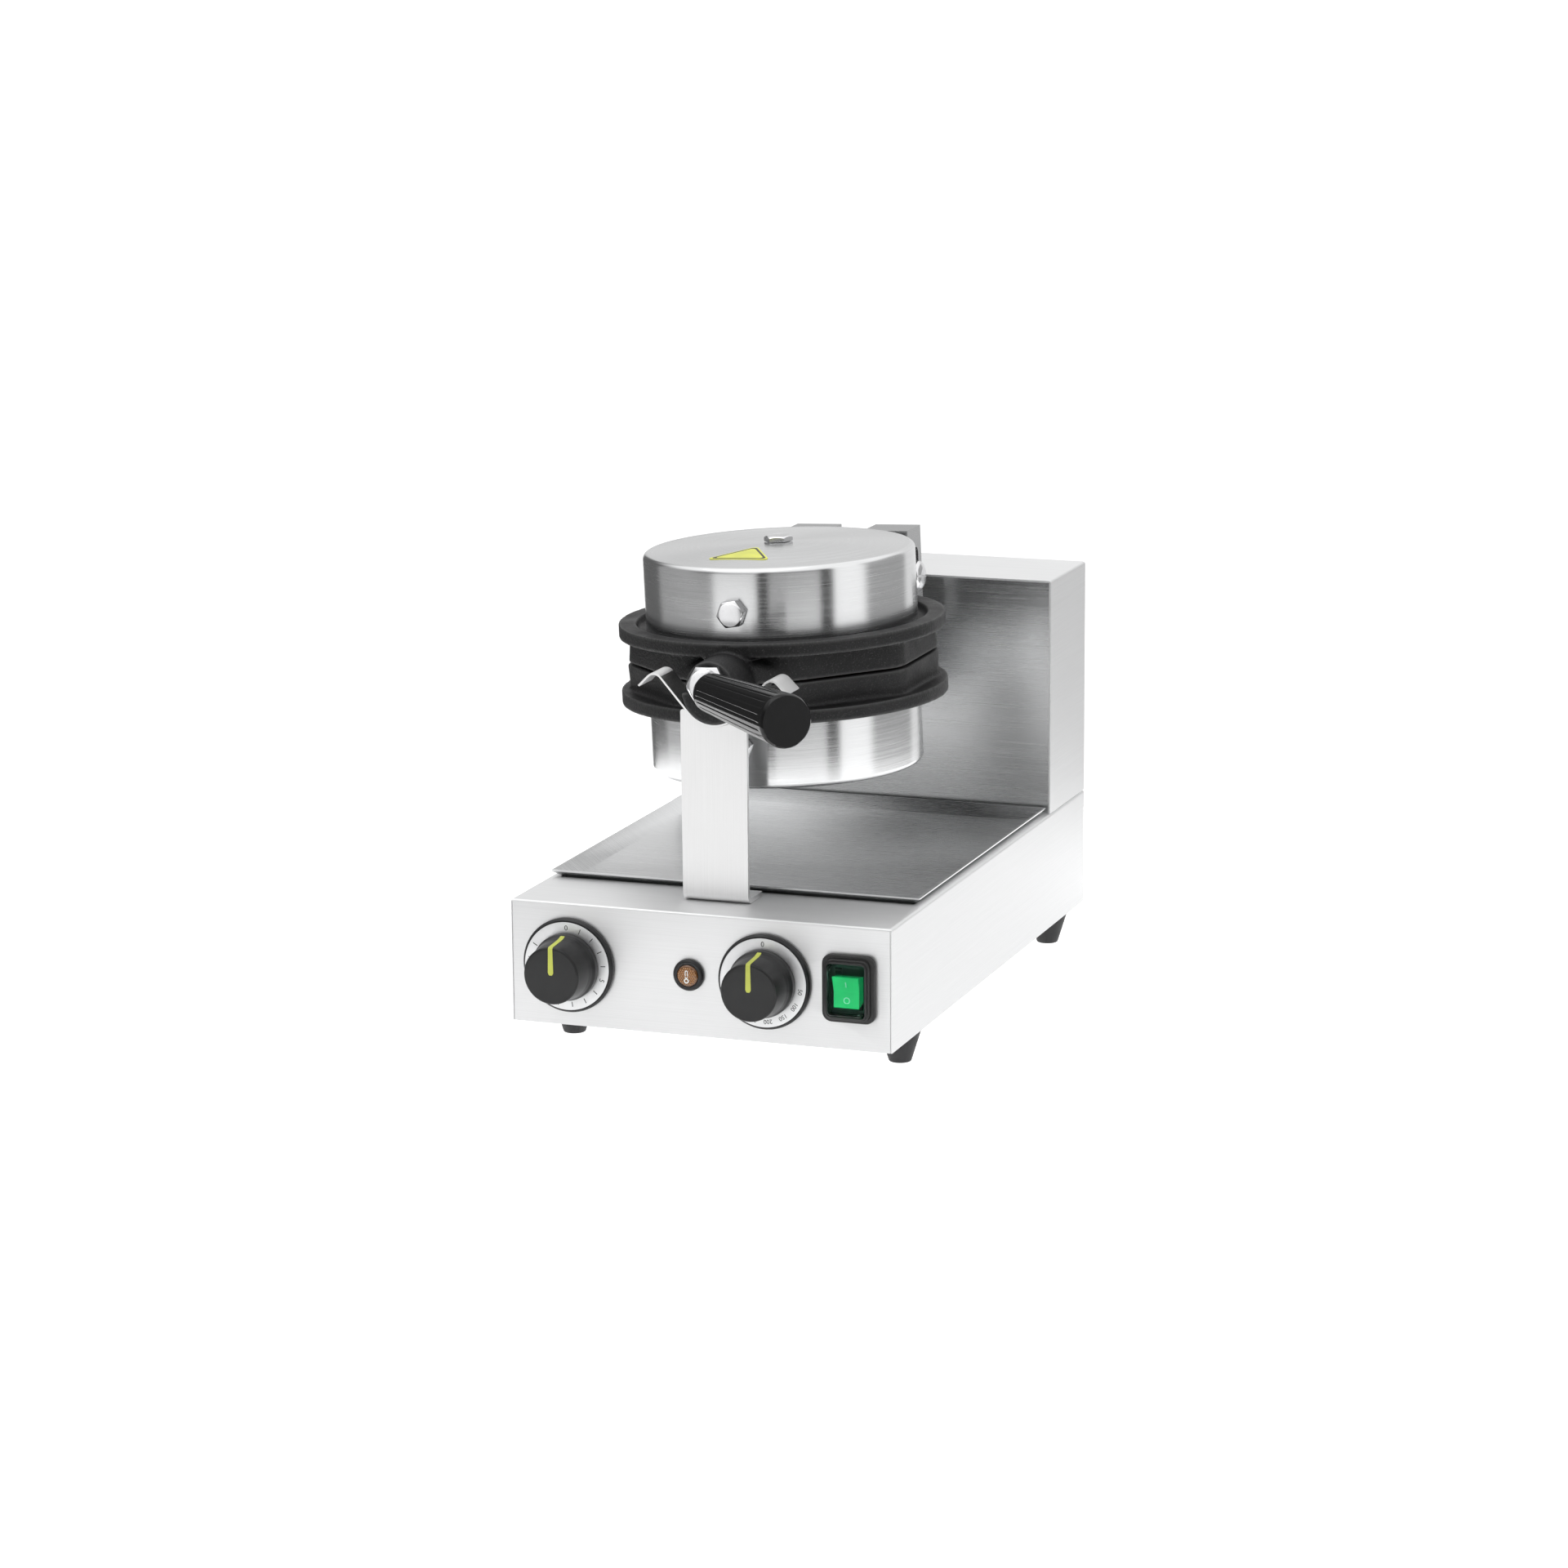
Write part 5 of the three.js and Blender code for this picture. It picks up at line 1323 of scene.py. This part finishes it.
# ---- pieces kept from the frame ------------------------------------------------------
KEPT = {
    zinc_steel: ("bearing_bracket", "rotor_shaft", "stop_collar", "lower_heater", "upper_heater"),
    bushing_bronze: ("front_bush", "rear_bush"),
    bright_steel: ("shaft_circlip", "casting_bolt_left", "casting_bolt_right", "hinge_pin",
                   "pin_spacer_left",
                   "pin_spacer_right"),
    black_moulding: ("timer_body", "thermostat_body", "switch_body"),
}
for finish, names in KEPT.items():
    for name in names:
        node = frame["nodes"][name]
        node.data.materials.clear()
        node.data.materials.append(finish)

# ---- camera, light and floor ---------------------------------------------------------
lens_data = bpy.data.cameras.new("camera")
lens_data.sensor_width = 36
lens_data.lens = 109.9
camera = bpy.data.objects.new("camera", lens_data)
bpy.context.scene.collection.objects.link(camera)
view_turn = Matrix((
    (0.94012, -0.06672, 0.33425),
    (0.34076, 0.20515, -0.91749),
    (-0.00736, 0.97644, 0.21560),
)).to_4x4()
camera.matrix_world = Matrix.Translation((1.0248, -2.8240, 0.8100)) @ view_turn
bpy.context.scene.camera = camera


# Brightness of the studio walls by bearing, in degrees clockwise from straight ahead of the panel.
WALLS = [(-180, 0.72), (-152, 0.6), (-144, 0.12), (-106, 0.12), (-98, 0.32), (-42, 0.36), (-34, 0.9),
         (-1, 0.95), (2, 0.04), (8, 0.04), (12, 0.5), (52, 0.62), (56, 0.04), (63, 0.04), (68, 0.95),
         (92, 0.95), (102, 0.35), (146, 0.35), (156, 0.72), (180, 0.72)]
STUDIO_LEVEL = 1.15
FRONT_SHADE = 0.45  # the open front of the studio, above floor level


def studio_world():
    """White studio whose walls have dark gaps that streak the polished rounds."""
    world = bpy.data.worlds.new("studio")
    bpy.context.scene.world = world
    world.use_nodes = True
    nodes = world.node_tree.nodes
    links = world.node_tree.links
    background = nodes["Background"]

    def add(kind, settings=None, **values):
        node = nodes.new(kind)
        for key, value in (settings or {}).items():
            setattr(node, key, value)
        for key, value in values.items():
            socket = node.inputs[int(key[1:])]
            if isinstance(value, bpy.types.NodeSocket):
                links.new(value, socket)
            else:
                socket.default_value = value
        return node.outputs[0]

    def maths(operation, a, b=0.0):
        return add("ShaderNodeMath", {"operation": operation}, i0=a, i1=b)

    def step(value, low, high, start, end):
        smooth = {"interpolation_type": "SMOOTHSTEP"}
        return add("ShaderNodeMapRange", smooth, i0=value, i1=low, i2=high, i3=start, i4=end)

    split = nodes.new("ShaderNodeSeparateXYZ")
    links.new(nodes.new("ShaderNodeTexCoord").outputs["Generated"], split.inputs[0])
    x, y, z = split.outputs
    bearing = maths("ARCTAN2", x, maths("MULTIPLY", y, -1.0))
    wall = 0.0
    for (low, start), (high, end) in zip(WALLS, WALLS[1:]):
        inside = maths("MULTIPLY", maths("GREATER_THAN", bearing, math.radians(low)),
                       maths("LESS_THAN", bearing, math.radians(high)))
        level = step(bearing, math.radians(low), math.radians(high), start, end)
        wall = maths("ADD", wall, maths("MULTIPLY", inside, level))
    front = maths("MULTIPLY", step(maths("ABSOLUTE", bearing), 0.8, 1.2, 1.0, 0.0),
                  maths("MULTIPLY", step(z, -0.02, 0.06, 0.0, 1.0), step(z, 0.4, 0.65, 1.0, 0.0)))
    shaded = maths("MULTIPLY", wall, maths("SUBTRACT", 1.0, maths("MULTIPLY", front, 1.0 - FRONT_SHADE)))
    overhead = step(z, 0.35, 0.7, 0.0, 1.0)
    level = maths("ADD", maths("MULTIPLY", shaded, maths("SUBTRACT", 1.0, overhead)), overhead)
    bright = maths("MULTIPLY", level, STUDIO_LEVEL)
    seen = nodes.new("ShaderNodeLightPath").outputs["Is Camera Ray"]
    strength = add("ShaderNodeMix", {"data_type": "FLOAT"}, i0=seen, i2=bright, i3=STUDIO_LEVEL)
    links.new(strength, background.inputs["Strength"])
    background.inputs["Color"].default_value = (1, 1, 1, 1)


studio_world()

FLOOR_R = 0.62
floor_shape = bmesh.new()
rim = [2 * math.pi * i / 96 for i in range(96)]
skin(floor_shape, [[(0, 0, 0)], [(FLOOR_R * math.cos(a), FLOOR_R * math.sin(a), 0) for a in rim]])
floor = make_object("floor", floor_shape)
white = Finish("floor_white", (0.9, 0.9, 0.9), 0.9, Emission_Color=(1, 1, 1, 1))
tone = white.noise(white.place, 30.0, 2.0)
white.link(white.blend(white.spread(tone, 0, 1), (0.89, 0.89, 0.89), (0.91, 0.91, 0.91)), "Base Color")
away = white.add("ShaderNodeVectorMath", {"operation": "LENGTH"}, i0=white.place).outputs["Value"]
white.link(white.spread(away, 0.27, 0.44, 0.3, 0.62), "Emission Strength")
floor.data.materials.append(white.material)

soft_box = bpy.data.lights.new("soft_box", "AREA")
soft_box.shape = "RECTANGLE"
soft_box.size = 1.6
soft_box.size_y = 1.6
soft_box.energy = 8
lamp = bpy.data.objects.new("soft_box", soft_box)
bpy.context.scene.collection.objects.link(lamp)
lamp.matrix_world = Matrix.Translation((-0.6, -0.4, 2.2))

bpy.context.scene.view_settings.view_transform = "Standard"
